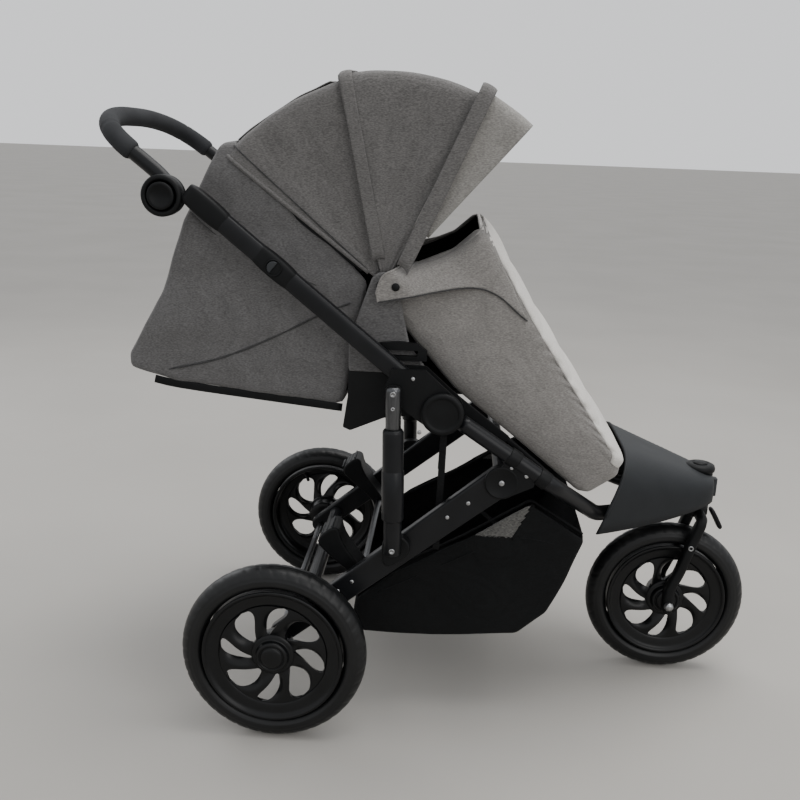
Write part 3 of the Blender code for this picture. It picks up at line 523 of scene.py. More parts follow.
class Finishes:
    """Every finish, made once."""

    def __init__(self) -> None:
        """Makes the materials."""
        self.canopy = Woven("canopy_melange", (108, 106, 105), (76, 75, 74)).make()
        self.seat = Woven("seat_melange", (104, 103, 103), (74, 73, 73)).make()
        self.apron = Woven("cover_melange", (140, 137, 134), (104, 102, 99)).make()
        self.light = Woven("cover_light", (208, 205, 200), (178, 175, 170)).make()
        self.visor = Woven("visor_melange", (146, 144, 140), (110, 108, 105)).make()
        self.mesh = Woven("open_mesh", (104, 103, 100), (52, 52, 51)).make()
        self.lining = Woven("black_lining", (26, 27, 28), (13, 13, 14), sheen=0.02).make()
        self.basket = Woven("basket_cloth", (19, 20, 21), (9, 10, 10), relief=0.0005, sheen=0.0).make()
        self.piping = Woven("piping", (66, 66, 66), (40, 40, 41), pitch=0.0011).make()
        self.web = Woven("webbing", (28, 29, 30), (12, 12, 13), pitch=0.0024, relief=0.0006, sheen=0.0).make()
        self.frame = Moulded("satin_frame", (20, 21, 23), 0.34, grain=2200, relief=0.00004, coat=0.12).make()
        self.plastic = Moulded("black_moulding", (14, 15, 16), 0.48).make()
        self.footrest = Moulded("footrest_plastic", (36, 38, 40), 0.55, grain=1100, relief=0.0002).make()
        self.foam = Moulded("grip_foam", (44, 45, 47), 0.86, grain=700, relief=0.0004, spread=8).make()
        self.tyre = Moulded("tyre_rubber", (13, 14, 15), 0.40, grain=500, relief=0.0001, shine=0.32).make()
        self.rim = Moulded("rim_plastic", (12, 13, 14), 0.34, coat=0.16).make()
        self.button = Moulded("grey_button", (48, 50, 52), 0.5).make()
        self.steel = Turned("zinc_steel", (176, 177, 178), 0.32).make()
        self.rod = Turned("dark_rod", (96, 97, 99), 0.30).make()


# ------------------------------------------------------------------ small fixings
@dataclass
class Fixings:
    """Rivets, bolts, snaps and caps that sit on other pieces."""

    finishes: Finishes

    def rivet(self, name: str, at: Point, axis: Point, radius: float, body: str,
              finish: Optional[Mat] = None, slot: str = "steel") -> Obj:
        """A domed head: radius r cos a, height 0.45 r sin a, on a short collar.

        Args:
            name: the piece's name.
            at: the middle of its underside.
            axis: which way it points.
            radius: its radius.
            body: the body it rides on.
            finish: its material, zinc steel unless given.
            slot: not used.
        Returns:
            The rivet.
        """
        a = np.linspace(0, np.pi / 2 - 0.12, 6)
        dome = np.stack([radius * np.cos(a), radius * (0.12 + 0.42 * np.sin(a))], 1)
        obj = turned(name, np.vstack([[radius, -0.001], dome]), at, axis, 18)
        return ride(obj, body, finish or self.finishes.steel)

    def bolt(self, name: str, at: Point, axis: Point, radius: float, body: str) -> Obj:
        """A round bolt head with a sunk middle, dark with a bright ring."""
        r = radius
        profile = [(r, -0.001), (r, 0.3 * r), (0.86 * r, 0.45 * r), (0.56 * r, 0.45 * r), (0.5 * r, 0.12 * r)]
        return ride(turned(name, profile, at, axis, 20), body, self.finishes.steel)


# ------------------------------------------------------------------ wheels
@dataclass
class Wheel:
    """One wheel: a treaded tyre, a rim with eight openings, a hub cap and a valve."""

    name: str
    body: str
    centre: Point
    radius: float
    side: float
    finishes: Finishes
    rear: bool = True
    width: float = 0.046
    depth: float = 0.037
    lugs: int = 44

    def tyre(self) -> Obj:
        """A ring whose section is a rounded oval, with grooves cut across its shoulders.

        The outward angle a runs round the section: height = R - half (1 - cos a) k and
        across = half sin a. A groove sinks the tread by a smooth step of
        sin(lugs * turn + 2.4 |a|), only over the shoulders, and one fine line rings each side.
        """
        half = self.width / 2
        a = np.radians(np.linspace(-152, 152, 58))
        turn = np.linspace(0, 2 * np.pi, self.lugs * 7, endpoint=False)[:, None]
        swell = self.radius - half * 0.98 * (1 - np.cos(a)) - (self.depth - half * 1.9) * np.clip(
            (np.abs(a) - 1.6) / 1.05, 0, 1)
        wave = np.sin(self.lugs * turn + 2.4 * np.abs(a)[None, :] + np.where(a < 0, 0.0, np.pi))
        shoulder = np.clip((np.abs(a) - 0.16) / 0.06, 0, 1) * np.clip((1.12 - np.abs(a)) / 0.08, 0, 1)
        cut = 0.0009 * shoulder * (0.5 + 0.5 * np.tanh(6.0 * (wave - 0.80)))
        rings = 0.0010 * (np.exp(-((np.abs(a) - 0.17) / 0.04) ** 2)
                          + 0.7 * np.exp(-((np.abs(a) - 1.24) / 0.05) ** 2))
        rise = 0.0006 * np.exp(-((np.abs(a) - 1.75) / 0.06) ** 2)
        sink = cut + (rings - rise)[None, :]
        r = swell[None, :] - sink * np.cos(a)[None, :].clip(0.25)
        y = np.broadcast_to((half * 0.985 * np.sin(a))[None, :], r.shape) - sink * np.sin(a)[None, :]
        pts = np.stack([self.centre[0] + r * np.cos(turn), self.centre[1] + y,
                        self.centre[2] + r * np.sin(turn)], -1)
        obj = outward(grid(self.name + "_tread", pts, wrap=True, loop=True))
        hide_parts(self.name + "_tyre")
        return ride(obj, self.body, self.finishes.tyre)

    def rim(self) -> Obj:
        """The barrel the tyre sits on: a turned ring with a rolled lip on both sides."""
        bead, half = self.radius - self.depth - 0.0004, self.width / 2
        section = [(bead + 0.0016, half - 0.002), (bead + 0.0012, half + 0.0008),
                   (bead - 0.002, half + 0.0016), (bead - 0.0042, half + 0.0002),
                   (bead - 0.0055, half - 0.0030), (bead - 0.0085, half - 0.0042),
                   (bead - 0.0180, half - 0.0058), (bead - 0.0258, half - 0.0076),
                   (bead - 0.0275, half - 0.0120), (bead - 0.0150, half - 0.0150), (bead - 0.0080, 0.004),
                   (bead - 0.0075, -half + 0.004), (bead - 0.0035, -half), (bead + 0.0010, -half),
                   (bead + 0.0012, -half + 0.004), (bead - 0.003, -half + 0.006),
                   (bead - 0.003, half - 0.006)]
        line = resample(chaikin(np.array(section), 1, closed=True), 44, closed=True)
        line[:, 1] *= self.side
        obj = turned(self.name + "_barrel", line, self.centre, Y_AXIS, 96, closed=True)
        return ride(obj, self.body, self.finishes.rim)

    def spokes(self) -> Obj:
        """Eight arched webs between leaf-shaped openings.

        Web i runs from the right edge of opening i to the left edge of opening i + 1. An
        opening's half angle is w sin(pi t^1.25)^0.42 at share t of the way out, and its middle
        leans by a twist that grows with t, so the webs meet at both ends.
        """
        bead, half = self.radius - self.depth, self.width / 2
        inner, outer = 0.034, bead - 0.0262
        t = np.linspace(0, 1, 22)
        r = inner + (outer - inner) * t
        wide, slim = (0.325, 0.205)
        starts = np.radians(np.arange(1, 9) * 45.0)
        widths = np.tile([wide, slim], 4)
        lean = np.tile([-0.34, -0.44], 4)
        leaf = np.sin(np.pi * t ** 1.25).clip(0) ** 0.42
        middle = starts[:, None] + lean[:, None] * (t[None, :] - 0.5)
        low = middle - widths[:, None] * leaf
        high = middle + widths[:, None] * leaf
        nxt = np.roll(low, -1, 0) + np.r_[np.zeros(7), 2 * np.pi][:, None]
        s = np.linspace(0, 1, 9)
        ang = high[:, :, None] + (nxt - high)[:, :, None] * s
        bulge = (1 - (2 * s - 1) ** 2)[None, None, :] * np.sin(np.pi * t)[None, :, None]
        twist = (s - 0.5)[None, None, :] * np.sin(np.pi * t)[None, :, None] * 0.009
        dish = (half - 0.0125 + 0.0030 * t ** 2)[None, :, None]
        y = self.side * (dish + 0.0040 * bulge + twist)
        rr = np.broadcast_to(r[None, :, None], ang.shape)
        pts = np.stack([self.centre[0] + rr * np.cos(ang), self.centre[1] + y + 0 * ang,
                        self.centre[2] + rr * np.sin(ang)], -1)
        pieces = [grid(f"{self.name}_web{i}", pts[i]) for i in range(8)]
        obj = outward(joined(self.name + "_spokes", pieces), 0.0002)
        walled(obj, 0.0060, 0.0)
        bevelled(obj, 0.0012, 2)
        return ride(obj, self.body, self.finishes.rim)

    def hub(self) -> Obj:
        """The hub: a stepped boss with a domed cap, turned on the axle."""
        half = self.width / 2
        outer = [(0.036, half - 0.014), (0.035, half - 0.0085), (0.0300, half - 0.0065),
                 (0.0268, half - 0.006), (0.0262, half + 0.0005), (0.0238, half + 0.0032),
                 (0.0205, half + 0.0036), (0.0200, half + 0.0020), (0.0180, half + 0.0018),
                 (0.0172, half + 0.0045), (0.011, half + 0.0062), (0.0015, half + 0.0066)]
        inner = [(0.0015, -half - 0.0005), (0.026, -half - 0.0005), (0.030, -half + 0.002), (0.031, 0.0),
                 (0.036, 0.002)]
        profile = np.array((outer[::-1] + inner[::-1])[::-1])
        profile = chaikin(profile, 1)
        profile[:, 1] *= self.side
        obj = turned(self.name + "_hub", profile, self.centre, Y_AXIS, 48)
        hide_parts(self.name + "_rim")
        return ride(obj, self.body, self.finishes.rim)

    def valve(self) -> Obj:
        """The air valve: a short stepped stem inside the barrel."""
        a = math.radians(118)
        way = np.array([math.cos(a), 0, math.sin(a)])
        bead = self.radius - self.depth
        at = np.array(self.centre) + way * (bead - 0.006) + np.array([0, self.side * 0.004, 0])
        profile = [(0.0042, 0.0), (0.0038, 0.008), (0.0028, 0.010), (0.0028, 0.021), (0.0035, 0.0215),
                   (0.0035, 0.027), (0.0015, 0.028)]
        obj = turned(self.name + "_valve", profile, tuple(at), tuple(-way), 12)
        return ride(obj, self.body, self.finishes.tyre)

    def build(self) -> None:
        """Makes every piece of the wheel."""
        self.tyre()
        self.rim()
        self.spokes()
        self.hub()
        self.valve()


def joined(name: str, pieces: Sequence[Obj]) -> Obj:
    """Puts several meshes into one object and removes the originals."""
    work = bmesh.new()
    for piece in pieces:
        work.from_mesh(piece.data)
    mesh = bpy.data.meshes.new(name)
    work.to_mesh(mesh)
    work.free()
    for piece in pieces:
        bpy.data.objects.remove(piece)
    obj = bpy.data.objects.new(name, mesh)
    bpy.context.scene.collection.objects.link(obj)
    return obj


# ------------------------------------------------------------------ metal frame
@dataclass
class FoldingFrame:
    """The side tubes, hubs, rear legs and struts."""

    finishes: Finishes
    fixings: Fixings
    side_y: float = 0.244
    hub: Tuple[float, float] = (0.252, 0.552)
    hub_radius: float = 0.033
    tube_angle: float = math.radians(141.2)
    tilt: Tuple[float, float] = (-0.178, 0.861)
    leg_pivot: Tuple[float, float] = (0.350, 0.441)
    strut_top: Tuple[float, float] = (0.177, 0.586)
    strut_foot: Tuple[float, float] = (0.184, 0.333)
    strut_y: float = 0.279
    foot_half: float = 0.160
    head_x: float = 0.722

    def along(self, distance: float, across: float = 0.0) -> Tuple[float, float]:
        """A point in x and z, so far up the upper tube from the hub and so far square to it."""
        c, s = math.cos(self.tube_angle), math.sin(self.tube_angle)
        return self.hub[0] + c * distance - s * across, self.hub[1] + s * distance + c * across

    def upper_tube(self, word: str, side: float) -> None:
        """A flat-sided tube from the hub to the handle joint, with its collars and joint ring."""
        d = np.array([0.036, 0.039, 0.10, 0.22, 0.33, 0.40, 0.452, 0.470])
        x, z = self.along(1.0)
        path = np.stack([self.hub[0] + (x - self.hub[0]) * d, np.full(8, side * self.side_y),
                         self.hub[1] + (z - self.hub[1]) * d], 1)
        obj = sweep(f"upper_tube_skin_{word}", path, oval(0.0149, 0.0109, 3.6, 32), scale=np.ones(8))
        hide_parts(f"upper_tube_{word}")
        ride(obj, "upper_frame", self.finishes.frame)
        self.collar(word, side)
        self.joint_ring(word, side)

    def collar(self, word: str, side: float) -> None:
        """Moulded sleeves on the tube: one at the hub and one at the fold release."""
        for part, start, stop, grow in (("root", 0.018, 0.060, 1.10), ("release", 0.300, 0.372, 1.10),
                                        ("neck", 0.430, 0.505, 1.12)):
            share = np.linspace(0, 1, 12)
            d = start + (stop - start) * share
            c, s = math.cos(self.tube_angle), math.sin(self.tube_angle)
            path = np.stack([self.hub[0] + c * d, np.full(12, side * self.side_y), self.hub[1] + s * d], 1)
            swell = grow * np.sin(np.pi * np.clip(share * 0.94 + 0.03, 0, 1)) ** 0.10
            flat = 0.0104 if part == "root" else 0.0112
            obj = sweep(f"tube_{part}_{word}", path, oval(0.0152, flat, 4.2, 32),
                        scale=swell)
            ride(obj, "upper_frame", self.finishes.plastic)

    def joint_ring(self, word: str, side: float) -> None:
        """The tilt joint: a drum with a rolled rim round its press button."""
        x, z = self.tilt
        face = 0.011
        profile = [(0.0015, -face), (0.0290, -face), (0.0308, -face + 0.002), (0.0308, face - 0.003),
                   (0.0292, face - 0.0002), (0.0262, face + 0.0006), (0.0236, face), (0.0226, face - 0.003),
                   (0.0216, face - 0.0095), (0.0015, face - 0.0095)]
        p = np.array(profile)
        p[:, 1] *= side
        obj = turned(f"tilt_joint_{word}", p, (x, side * self.side_y, z), Y_AXIS, 56)
        ride(obj, "upper_frame", self.finishes.plastic)
        button = [(0.0015, 0.0), (0.0196, 0.0), (0.0203, 0.001), (0.0203, 0.0085), (0.0190, 0.0098),
                  (0.0150, 0.0100), (0.0142, 0.0090), (0.0015, 0.0082)]
        b = np.array(button)
        b[:, 1] = side * (0.005 + b[:, 1])
        cap = turned(f"tilt_cap_{word}", b, (x, side * self.side_y, z), Y_AXIS, 48)
        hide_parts(f"tilt_button_{word}")
        ride(cap, f"tilt_button_{word}", self.finishes.plastic)

    def release(self, word: str, side: float) -> None:
        """The fold release: a grey half-moon button in a ring."""
        x, z = self.along(0.336)
        y = side * (self.side_y + 0.0118)
        ring = turned(f"release_ring_{word}", np.array([(0.0125, -0.001), (0.0135, 0.0012 * side),
                                                        (0.0120, 0.0022 * side), (0.0108, 0.0012 * side),
                                                        (0.0106, -0.001)]),
                      (x, y, z), Y_AXIS, 36, closed=True)
        ride(ring, "upper_frame", self.finishes.plastic)
        moon = arc((x, z), 0.0098, math.degrees(self.tube_angle) - 90, math.degrees(self.tube_angle) + 90, 14)
        button = plate(f"release_button_{word}", moon, y + side * 0.0003, y + side * 0.0040, 0.0012)
        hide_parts(f"fold_release_{word}")
        ride(button, f"fold_release_{word}", self.finishes.button)

    def hub_disc(self, word: str, side: float) -> None:
        """The round hub cover: a dished disc inside a rolled rim."""
        base = self.side_y + 0.0179
        r = self.hub_radius
        profile = np.array([(0.0015, 0.0), (r - 0.002, 0.0), (r, 0.0015), (r, 0.0066), (r - 0.0018, 0.0088),
                            (r - 0.0050, 0.0098), (r - 0.0074, 0.0090), (r - 0.0086, 0.0072),
                            (r - 0.0100, 0.0068), (r - 0.020, 0.0072), (0.0015, 0.0075)])
        profile[:, 1] *= side
        obj = turned(f"hub_disc_{word}", profile, (self.hub[0], side * base, self.hub[1]), Y_AXIS, 56)
        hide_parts(f"hub_cover_{word}")
        ride(obj, "upper_frame", self.finishes.plastic)

    def front_tube(self, word: str, side: float) -> None:
        """A bent round tube from the hub into the footrest."""
        corners = np.array([
            (self.hub[0] + 0.030, side * self.side_y, self.hub[1] - 0.017),
            (0.430, side * self.side_y, 0.4390), (0.520, side * (self.foot_half - 0.024), 0.3540),
            (0.600, side * 0.075, 0.3420), (self.head_x - 0.030, side * 0.016, 0.3480)])
        path = resample(chaikin(eased(corners, 0.030), 3), 60)
        obj = sweep(f"front_tube_skin_{word}", path, circle(0.0130, 24), Z_AXIS)
        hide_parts(f"front_tube_{word}")
        ride(obj, "chassis", self.finishes.frame)
        a, b = corners[0], corners[1]
        way = (b - a) / np.linalg.norm(b - a)
        for part, at in (("clip", 0.157), ("stop", 0.100)):
            middle = a + way * at
            sleeve = rounded_rod(f"tube_{part}_{word}", tuple(middle - way * 0.010),
                                 tuple(middle + way * 0.010), 0.0148, 0.002)
            ride(sleeve, "chassis", self.finishes.plastic)

    def rear_leg(self, word: str, side: float) -> None:
        """A flat leg from the pivot to the axle, with its strut foot and rivets."""
        a, b = np.array(self.leg_pivot), np.array((0.0, 0.150))
        way = (b - a) / np.linalg.norm(b - a)
        up = np.array([way[1], -way[0]])
        share = np.linspace(0, 1, 9)
        half = 0.0245 + (0.0185 - 0.0245) * share
        edge_top = a + (b - a) * share[:, None] + up * half[:, None]
        edge_low = (a + (b - a) * share[:, None] - up * half[:, None])[::-1]
        turn_low = arc(tuple(b), 0.0185, math.degrees(math.atan2(up[1], up[0])),
                       math.degrees(math.atan2(up[1], up[0])) + 180, 10)
        turn_top = arc(tuple(a), 0.0245, math.degrees(math.atan2(-up[1], -up[0])),
                       math.degrees(math.atan2(-up[1], -up[0])) + 180, 10)
        outline = np.vstack([edge_top, turn_low, edge_low, turn_top])
        leg = plate(f"rear_leg_skin_{word}", outline, side * 0.2263, side * 0.2457, 0.0045, 3)
        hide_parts(f"rear_leg_{word}")
        ride(leg, "rear_frame", self.finishes.frame)
        fx, fz = self.strut_foot
        foot = chaikin(np.array([(fx - 0.018, fz + 0.008), (fx - 0.018, fz - 0.034), (fx - 0.006, fz - 0.044),
                                 (fx + 0.028, fz - 0.018), (fx + 0.026, fz + 0.002),
                                 (fx + 0.012, fz + 0.014)]), 2, True)
        block = plate(f"strut_foot_{word}", foot, side * 0.243, side * 0.2635, 0.003, 3)
        ride(block, "rear_frame", self.finishes.plastic)
        for k, (x, z) in enumerate(((0.300, 0.402), (0.268, 0.376), (0.118, 0.254), (0.095, 0.236))):
            self.fixings.rivet(f"leg_rivet{k}_{word}", (x, side * 0.2456, z), (0, side, 0), 0.0034,
                               "rear_frame")

    def bracket(self, word: str, side: float) -> None:
        """The disc over the rear leg's pivot and its rivets."""
        x, z = self.leg_pivot
        disc = np.array([(0.0015, 0), (0.0268, 0), (0.0268, 0.0048), (0.0252, 0.0066), (0.0238, 0.0066),
                         (0.0230, 0.0058), (0.0015, 0.0058)])
        disc[:, 1] *= side
        cover = turned(f"pivot_disc_{word}", disc, (x, side * 0.2466, z), Y_AXIS, 48)
        ride(cover, "chassis", self.finishes.plastic)
        for k, (dx, dz, r) in enumerate(((0.0, 0.0, 0.0046), (0.014, 0.026, 0.0030), (0.038, 0.014, 0.0036))):
            self.fixings.rivet(f"pivot_rivet{k}_{word}", (x + dx, side * 0.2524, z + dz), (0, side, 0), r,
                               "chassis")

    def strut(self, word: str, side: float) -> None:
        """The telescopic strut: a stepped sleeve with collars and a bolted rod head."""
        foot = np.array([self.strut_foot[0], side * self.strut_y, self.strut_foot[1]])
        top = np.array([self.strut_top[0], side * self.strut_y, self.strut_top[1]])
        way = (top - foot) / np.linalg.norm(top - foot)
        d = np.array([-0.0115, -0.0110, -0.0085, 0.030, 0.046, 0.0475, 0.0490, 0.0500, 0.128, 0.1295, 0.131,
                      0.190, 0.1925, 0.1950, 0.1956])
        r = np.array([0.004, 0.0110, 0.0142, 0.0142, 0.0142, 0.0146, 0.0170, 0.0174, 0.0174, 0.0164, 0.0164,
                      0.0164, 0.0158, 0.0144, 0.0135])
        sleeve = sweep(f"strut_skin_{word}", foot + way * d[:, None], circle(1.0, 32), scale=r)
        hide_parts(f"strut_sleeve_{word}")
        ride(sleeve, "strut", self.finishes.frame)
        e = np.array([0.150, 0.2190, 0.2215, 0.2560, 0.2595, 0.2625, 0.2630])
        q = np.array([0.0119, 0.0119, 0.0123, 0.0123, 0.0118, 0.0090, 0.004])
        rod = sweep(f"rod_skin_{word}", foot + way * e[:, None], circle(1.0, 28), scale=q)
        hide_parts(f"strut_rod_{word}")
        ride(rod, "strut_slide", self.finishes.rod)
        for k, (at, body, radius) in enumerate(((0.253, "strut_slide", 0.0045),
                                                (0.2305, "strut_slide", 0.0030),
                                                 (0.0, "strut", 0.0046))):
            p = foot + way * at
            reach = 0.0118 if body == "strut_slide" else 0.0138
            self.fixings.bolt(f"strut_bolt{k}_{word}", (p[0], p[1] + side * reach, p[2]), (0, side, 0),
                              radius, body)

    def housing(self, word: str, side: float) -> None:
        """Rivets on the hub housing."""
        for k, (x, z) in enumerate(((0.205, 0.604), (0.218, 0.520))):
            self.fixings.rivet(f"housing_rivet{k}_{word}", (x, side * 0.2616, z), (0, side, 0), 0.0032,
                               "chassis")

    def handle(self) -> None:
        """The handle: two arms and a foam grip with a seam at each end."""
        arm_y = self.side_y - 0.011 - 0.001 - 0.012
        tx, tz = self.tilt
        corner = (tx - 0.122, tz + 0.114)
        arms = {}
        for word, side in SIDES.items():
            stop = np.array([tx - 0.010, side * arm_y, tz + 0.030])
            far = np.array([corner[0], side * (arm_y - 0.004), corner[1]])
            end = stop + (far - stop) * 0.36
            arms[word] = (end, (far - stop) / np.linalg.norm(far - stop))
            path = resample(chaikin(np.array([(tx + 0.004, side * arm_y, tz + 0.010),
                                              (tx - 0.008, side * arm_y, tz + 0.028),
                                              tuple(end + arms[word][1] * 0.004)]), 2), 18)
            arm = sweep(f"handle_arm_skin_{word}", path, circle(0.0118, 24))
            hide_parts(f"handle_arm_{word}")
            ride(arm, "handle", self.finishes.frame)
            disc = np.array([(0.0015, 0.0), (0.0280, 0.0), (0.0298, 0.0018), (0.0298, 0.0088),
                             (0.0015, 0.0096)])
            disc[:, 1] *= side
            plate_y = side * (self.side_y - 0.011 - 0.001 - 0.010)
            ride(turned(f"handle_disc_{word}", disc, (tx, plate_y, tz), Y_AXIS, 44), "handle",
                 self.finishes.plastic)
        bend = 0.200
        reach = arm_y - 0.004
        halves = [bent(arms[word][0], np.array([corner[0], side * reach, corner[1]]),
                       np.array([corner[0], side * (reach - bend), corner[1]]), 30)
                  for word, side in SIDES.items()]
        path = resample(np.vstack([halves[0], halves[1][::-1]]), 140)
        share = np.linspace(0, 1, 140)
        ends = np.clip(np.minimum(share, 1 - share) / 0.012, 0, 1) ** 0.5
        groove = sum(np.exp(-((share - at) / 0.0022) ** 2) for at in (0.115, 0.885))
        radius = 0.0126 + 0.0028 * ends - 0.0010 * groove
        grip = sweep("handle_foam", path, circle(1.0, 28), tuple(np.cross((0, 1, 0), arms["right"][1])),
                     scale=radius)
        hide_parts("handle_grip")
        ride(grip, "handle", self.finishes.foam)

    def cross_pieces(self) -> None:
        """Better finishes for the straight tubes across the frame."""
        for node in ("cross_tube", "axle_beam", "seat_hoop"):
            dress(node, self.finishes.frame)

    def build(self) -> None:
        """Makes both sides and the pieces between them."""
        for word, side in SIDES.items():
            self.upper_tube(word, side)
            self.release(word, side)
            self.hub_disc(word, side)
            self.front_tube(word, side)
            self.rear_leg(word, side)
            self.bracket(word, side)
            self.strut(word, side)
            self.housing(word, side)
        self.handle()
        self.cross_pieces()


def dress(node: str, finish: Mat) -> None:
    """Gives a CAD node that stays in sight a better material."""
    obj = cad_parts[node]
    obj.data.materials.clear()
    obj.data.materials.append(finish)
    LOG.info("%s keeps its shape", node)


# ------------------------------------------------------------------ front end
@dataclass
class FrontEnd:
    """The footrest, steering head, fork and the small levers on them."""

    finishes: Finishes
    fixings: Fixings
    head_x: float = 0.722
    head_radius: float = 0.024
    axle_x: float = 0.684
    axle_z: float = 0.145
    back: float = 0.520
    half: float = 0.160
    fork_y: float = 0.0385

    def footrest(self) -> None:
        """A tapering hood: y = half (1 - t)^0.5 |cos|^0.45 across and a ribbed top.

        Shares t run along it and angles over it; ribs are 1.2 mm waves across the top,
        and a step line runs round it 16 mm above its lower edge.
        """
        t = np.linspace(0, 1, 46)[:, None]
        turn = np.linspace(0, np.pi, 73)[None, :]
        front = self.head_x + self.head_radius - 0.004
        x = self.back + (front - self.back) * t
        half = self.half * (1 - t) ** 0.5 * (1 - 0.35 * t) + 0.030 * t
        top, bottom = 0.452 - 0.062 * t, 0.326 + 0.028 * t * t
        c, s = np.cos(turn), np.sin(turn)
        y = -half * np.sign(c) * np.abs(c) ** 0.45
        z = bottom + (top - bottom) * s ** 0.55
        flat = np.clip((s - 0.80) / 0.1, 0, 1) * np.clip((0.9 - t) / 0.1, 0, 1) * np.clip(t / 0.06, 0, 1)
        rib = 0.0004 * flat * np.sin(t * 150.0)
        step = 0.0014 / (1 + np.exp(-(z - bottom - 0.018) / 0.0012))
        xx = x + 0.050 * (1 - t) * s ** 0.55
        pts = np.stack([xx, y * (1 - step / 0.16), z - step * 0.3 + rib], -1)
        obj = grid("footrest_hood", pts)
        walled(obj, 0.003, 0.0)
        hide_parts("footrest")
        ride(obj, "chassis", self.finishes.footrest)
        rim = sweep("footrest_edge", pts[0][2:-2], circle(0.0028, 10), (1.0, 0.0, 0.1))
        ride(rim, "chassis", self.finishes.footrest)

    def head(self) -> None:
        """The steering head: a drum with a domed cap and a split collar."""
        r = self.head_radius
        profile = [(0.0015, -0.0370), (r - 0.002, -0.0370), (r, -0.0350), (r, -0.0120), (r - 0.0012, -0.0110),
                   (r - 0.0012, -0.0090), (r, -0.0080), (r, 0.0230), (r + 0.0026, 0.0250),
                   (r + 0.0028, 0.0300), (r + 0.0012, 0.0345), (r - 0.004, 0.0368), (r - 0.009, 0.0372),
                   (r - 0.011, 0.0360), (0.0015, 0.0362)]
        obj = turned("steering_drum", profile, (self.head_x, 0.0, 0.3725), Z_AXIS, 56)
        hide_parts("steering_head")
        ride(obj, "chassis", self.finishes.plastic)
        cap = turned("steering_cap", [(0.0120, -0.002), (0.0120, 0.0012), (0.0100, 0.0026), (0.0015, 0.0032)],
                     (self.head_x, 0.0, 0.4088), Z_AXIS, 36)
        ride(cap, "chassis", self.finishes.plastic)

    def levers(self) -> None:
        """The swivel lock's knob and the wheel release's tail."""
        x = self.head_x + self.head_radius
        knob = rounded_rod("lock_knob", (x + 0.0050, 0, 0.349), (x + 0.0050, 0, 0.383), 0.0046, 0.002,
                           flat=1.7, power=3.4)
        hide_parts("swivel_lock")
        ride(knob, "swivel_lock", self.finishes.button)
        a = np.array([(self.head_x + 0.0285, 0.0, 0.3235), (self.head_x + 0.036, 0.0, 0.312),
                      (self.head_x + 0.044, 0.0, 0.298), (self.head_x + 0.0505, 0.0, 0.2855)])
        tail = sweep("release_tail", resample(chaikin(a, 2), 16), oval(0.0044, 0.0112, 3.2, 24),
                     scale=np.r_[0.55, 0.85, np.ones(12), 0.85, 0.5])
        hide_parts("wheel_release")
        ride(tail, "wheel_release", self.finishes.plastic)

    def fork(self) -> None:
        """Two curved blades under a round crown, with axle lugs, bolts and domed axle nuts."""
        parts = []
        for side in SIDES.values():
            y = side * self.fork_y
            corners = np.array([(self.head_x + 0.004, side * 0.004, 0.3190), (self.head_x + 0.006, y, 0.3130),
                                (self.head_x - 0.010, y, 0.2600), (self.head_x - 0.024, y, 0.2100),
                                (self.axle_x, y, self.axle_z + 0.030), (self.axle_x, y, self.axle_z - 0.018)])
            path = resample(chaikin(eased(corners, 0.020), 3), 56)
            share = np.linspace(0, 1, 56)
            thick = 1.0 - 0.06 * share + 0.08 * np.exp(-((share - 0.86) / 0.06) ** 2)
            thick[-1] = 0.6
            parts.append(sweep(f"blade{side}", path, oval(0.0122, 0.0098, 2.8, 28), (0.9, 0.0, 0.44), thick))
        r = self.head_radius - 0.001
        parts.append(turned("crown", [(0.0015, -0.0125), (r - 0.005, -0.0125), (r, -0.009), (r, 0.007),
                                      (r - 0.002, 0.0100),
                                      (0.0015, 0.0105)], (self.head_x, 0.0, 0.3235), Z_AXIS, 48))
        obj = joined("fork_blades", parts)
        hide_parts("fork")
        ride(obj, "fork", self.finishes.plastic)
        for word, side in SIDES.items():
            y = side * (self.fork_y + 0.0100)
            self.fixings.bolt(f"fork_screw_{word}", (self.head_x - 0.011, y, 0.262), (0, side, 0), 0.0052,
                              "fork")
            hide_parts(f"fork_bolt_{word}")
            nut = [(0.0085, -0.001), (0.0085, 0.003), (0.0070, 0.0062), (0.0042, 0.0082), (0.0012, 0.0088)]
            cap = turned(f"axle_nut_{word}", nut, (self.axle_x, side * (self.fork_y + 0.0104), self.axle_z),
                         (0, side, 0), 28)
            ride(cap, "fork", self.finishes.steel)
        dress("front_axle", self.finishes.steel)

    def build(self) -> None:
        """Makes every piece of the front end."""
        self.footrest()
        self.head()
        self.levers()
        self.fork()


# ------------------------------------------------------------------ brake and axle
@dataclass
class Brake:
    """The foot pedals, their bar, and the axle."""

    finishes: Finishes
    fixings: Fixings
    axis: Tuple[float, float] = (0.130, 0.240)

    def build(self) -> None:
        """Makes a dished, ribbed pedal on each side and dresses the bar."""
        x, z = self.axis
        outline = chaikin(np.array([(x + 0.010, z + 0.006), (0.096, 0.300), (0.088, 0.338), (0.048, 0.305),
                                    (0.072, 0.280), (x - 0.014, z + 0.004), (x - 0.008, z - 0.013),
                                    (x + 0.010, z - 0.011)]), 2, True)
        for word, side in SIDES.items():
            pedal = plate(f"pedal_{word}", outline, side * 0.150, side * 0.205, 0.004, 3)
            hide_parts(f"brake_pedal_{word}")
            ride(pedal, "brake", self.finishes.plastic)
            for k in range(4):
                a = np.array((0.054, 0.309)) + np.array((0.008, 0.0068)) * k
                bar = rounded_rod(f"pedal_bar{k}_{word}", (a[0], side * 0.155, a[1]),
                                  (a[0], side * 0.200, a[1]), 0.0018, 0.001, Z_AXIS)
                ride(bar, "brake", self.finishes.button)
        dress("brake_bar", self.finishes.rod)
        dress("rear_axle", self.finishes.rod)


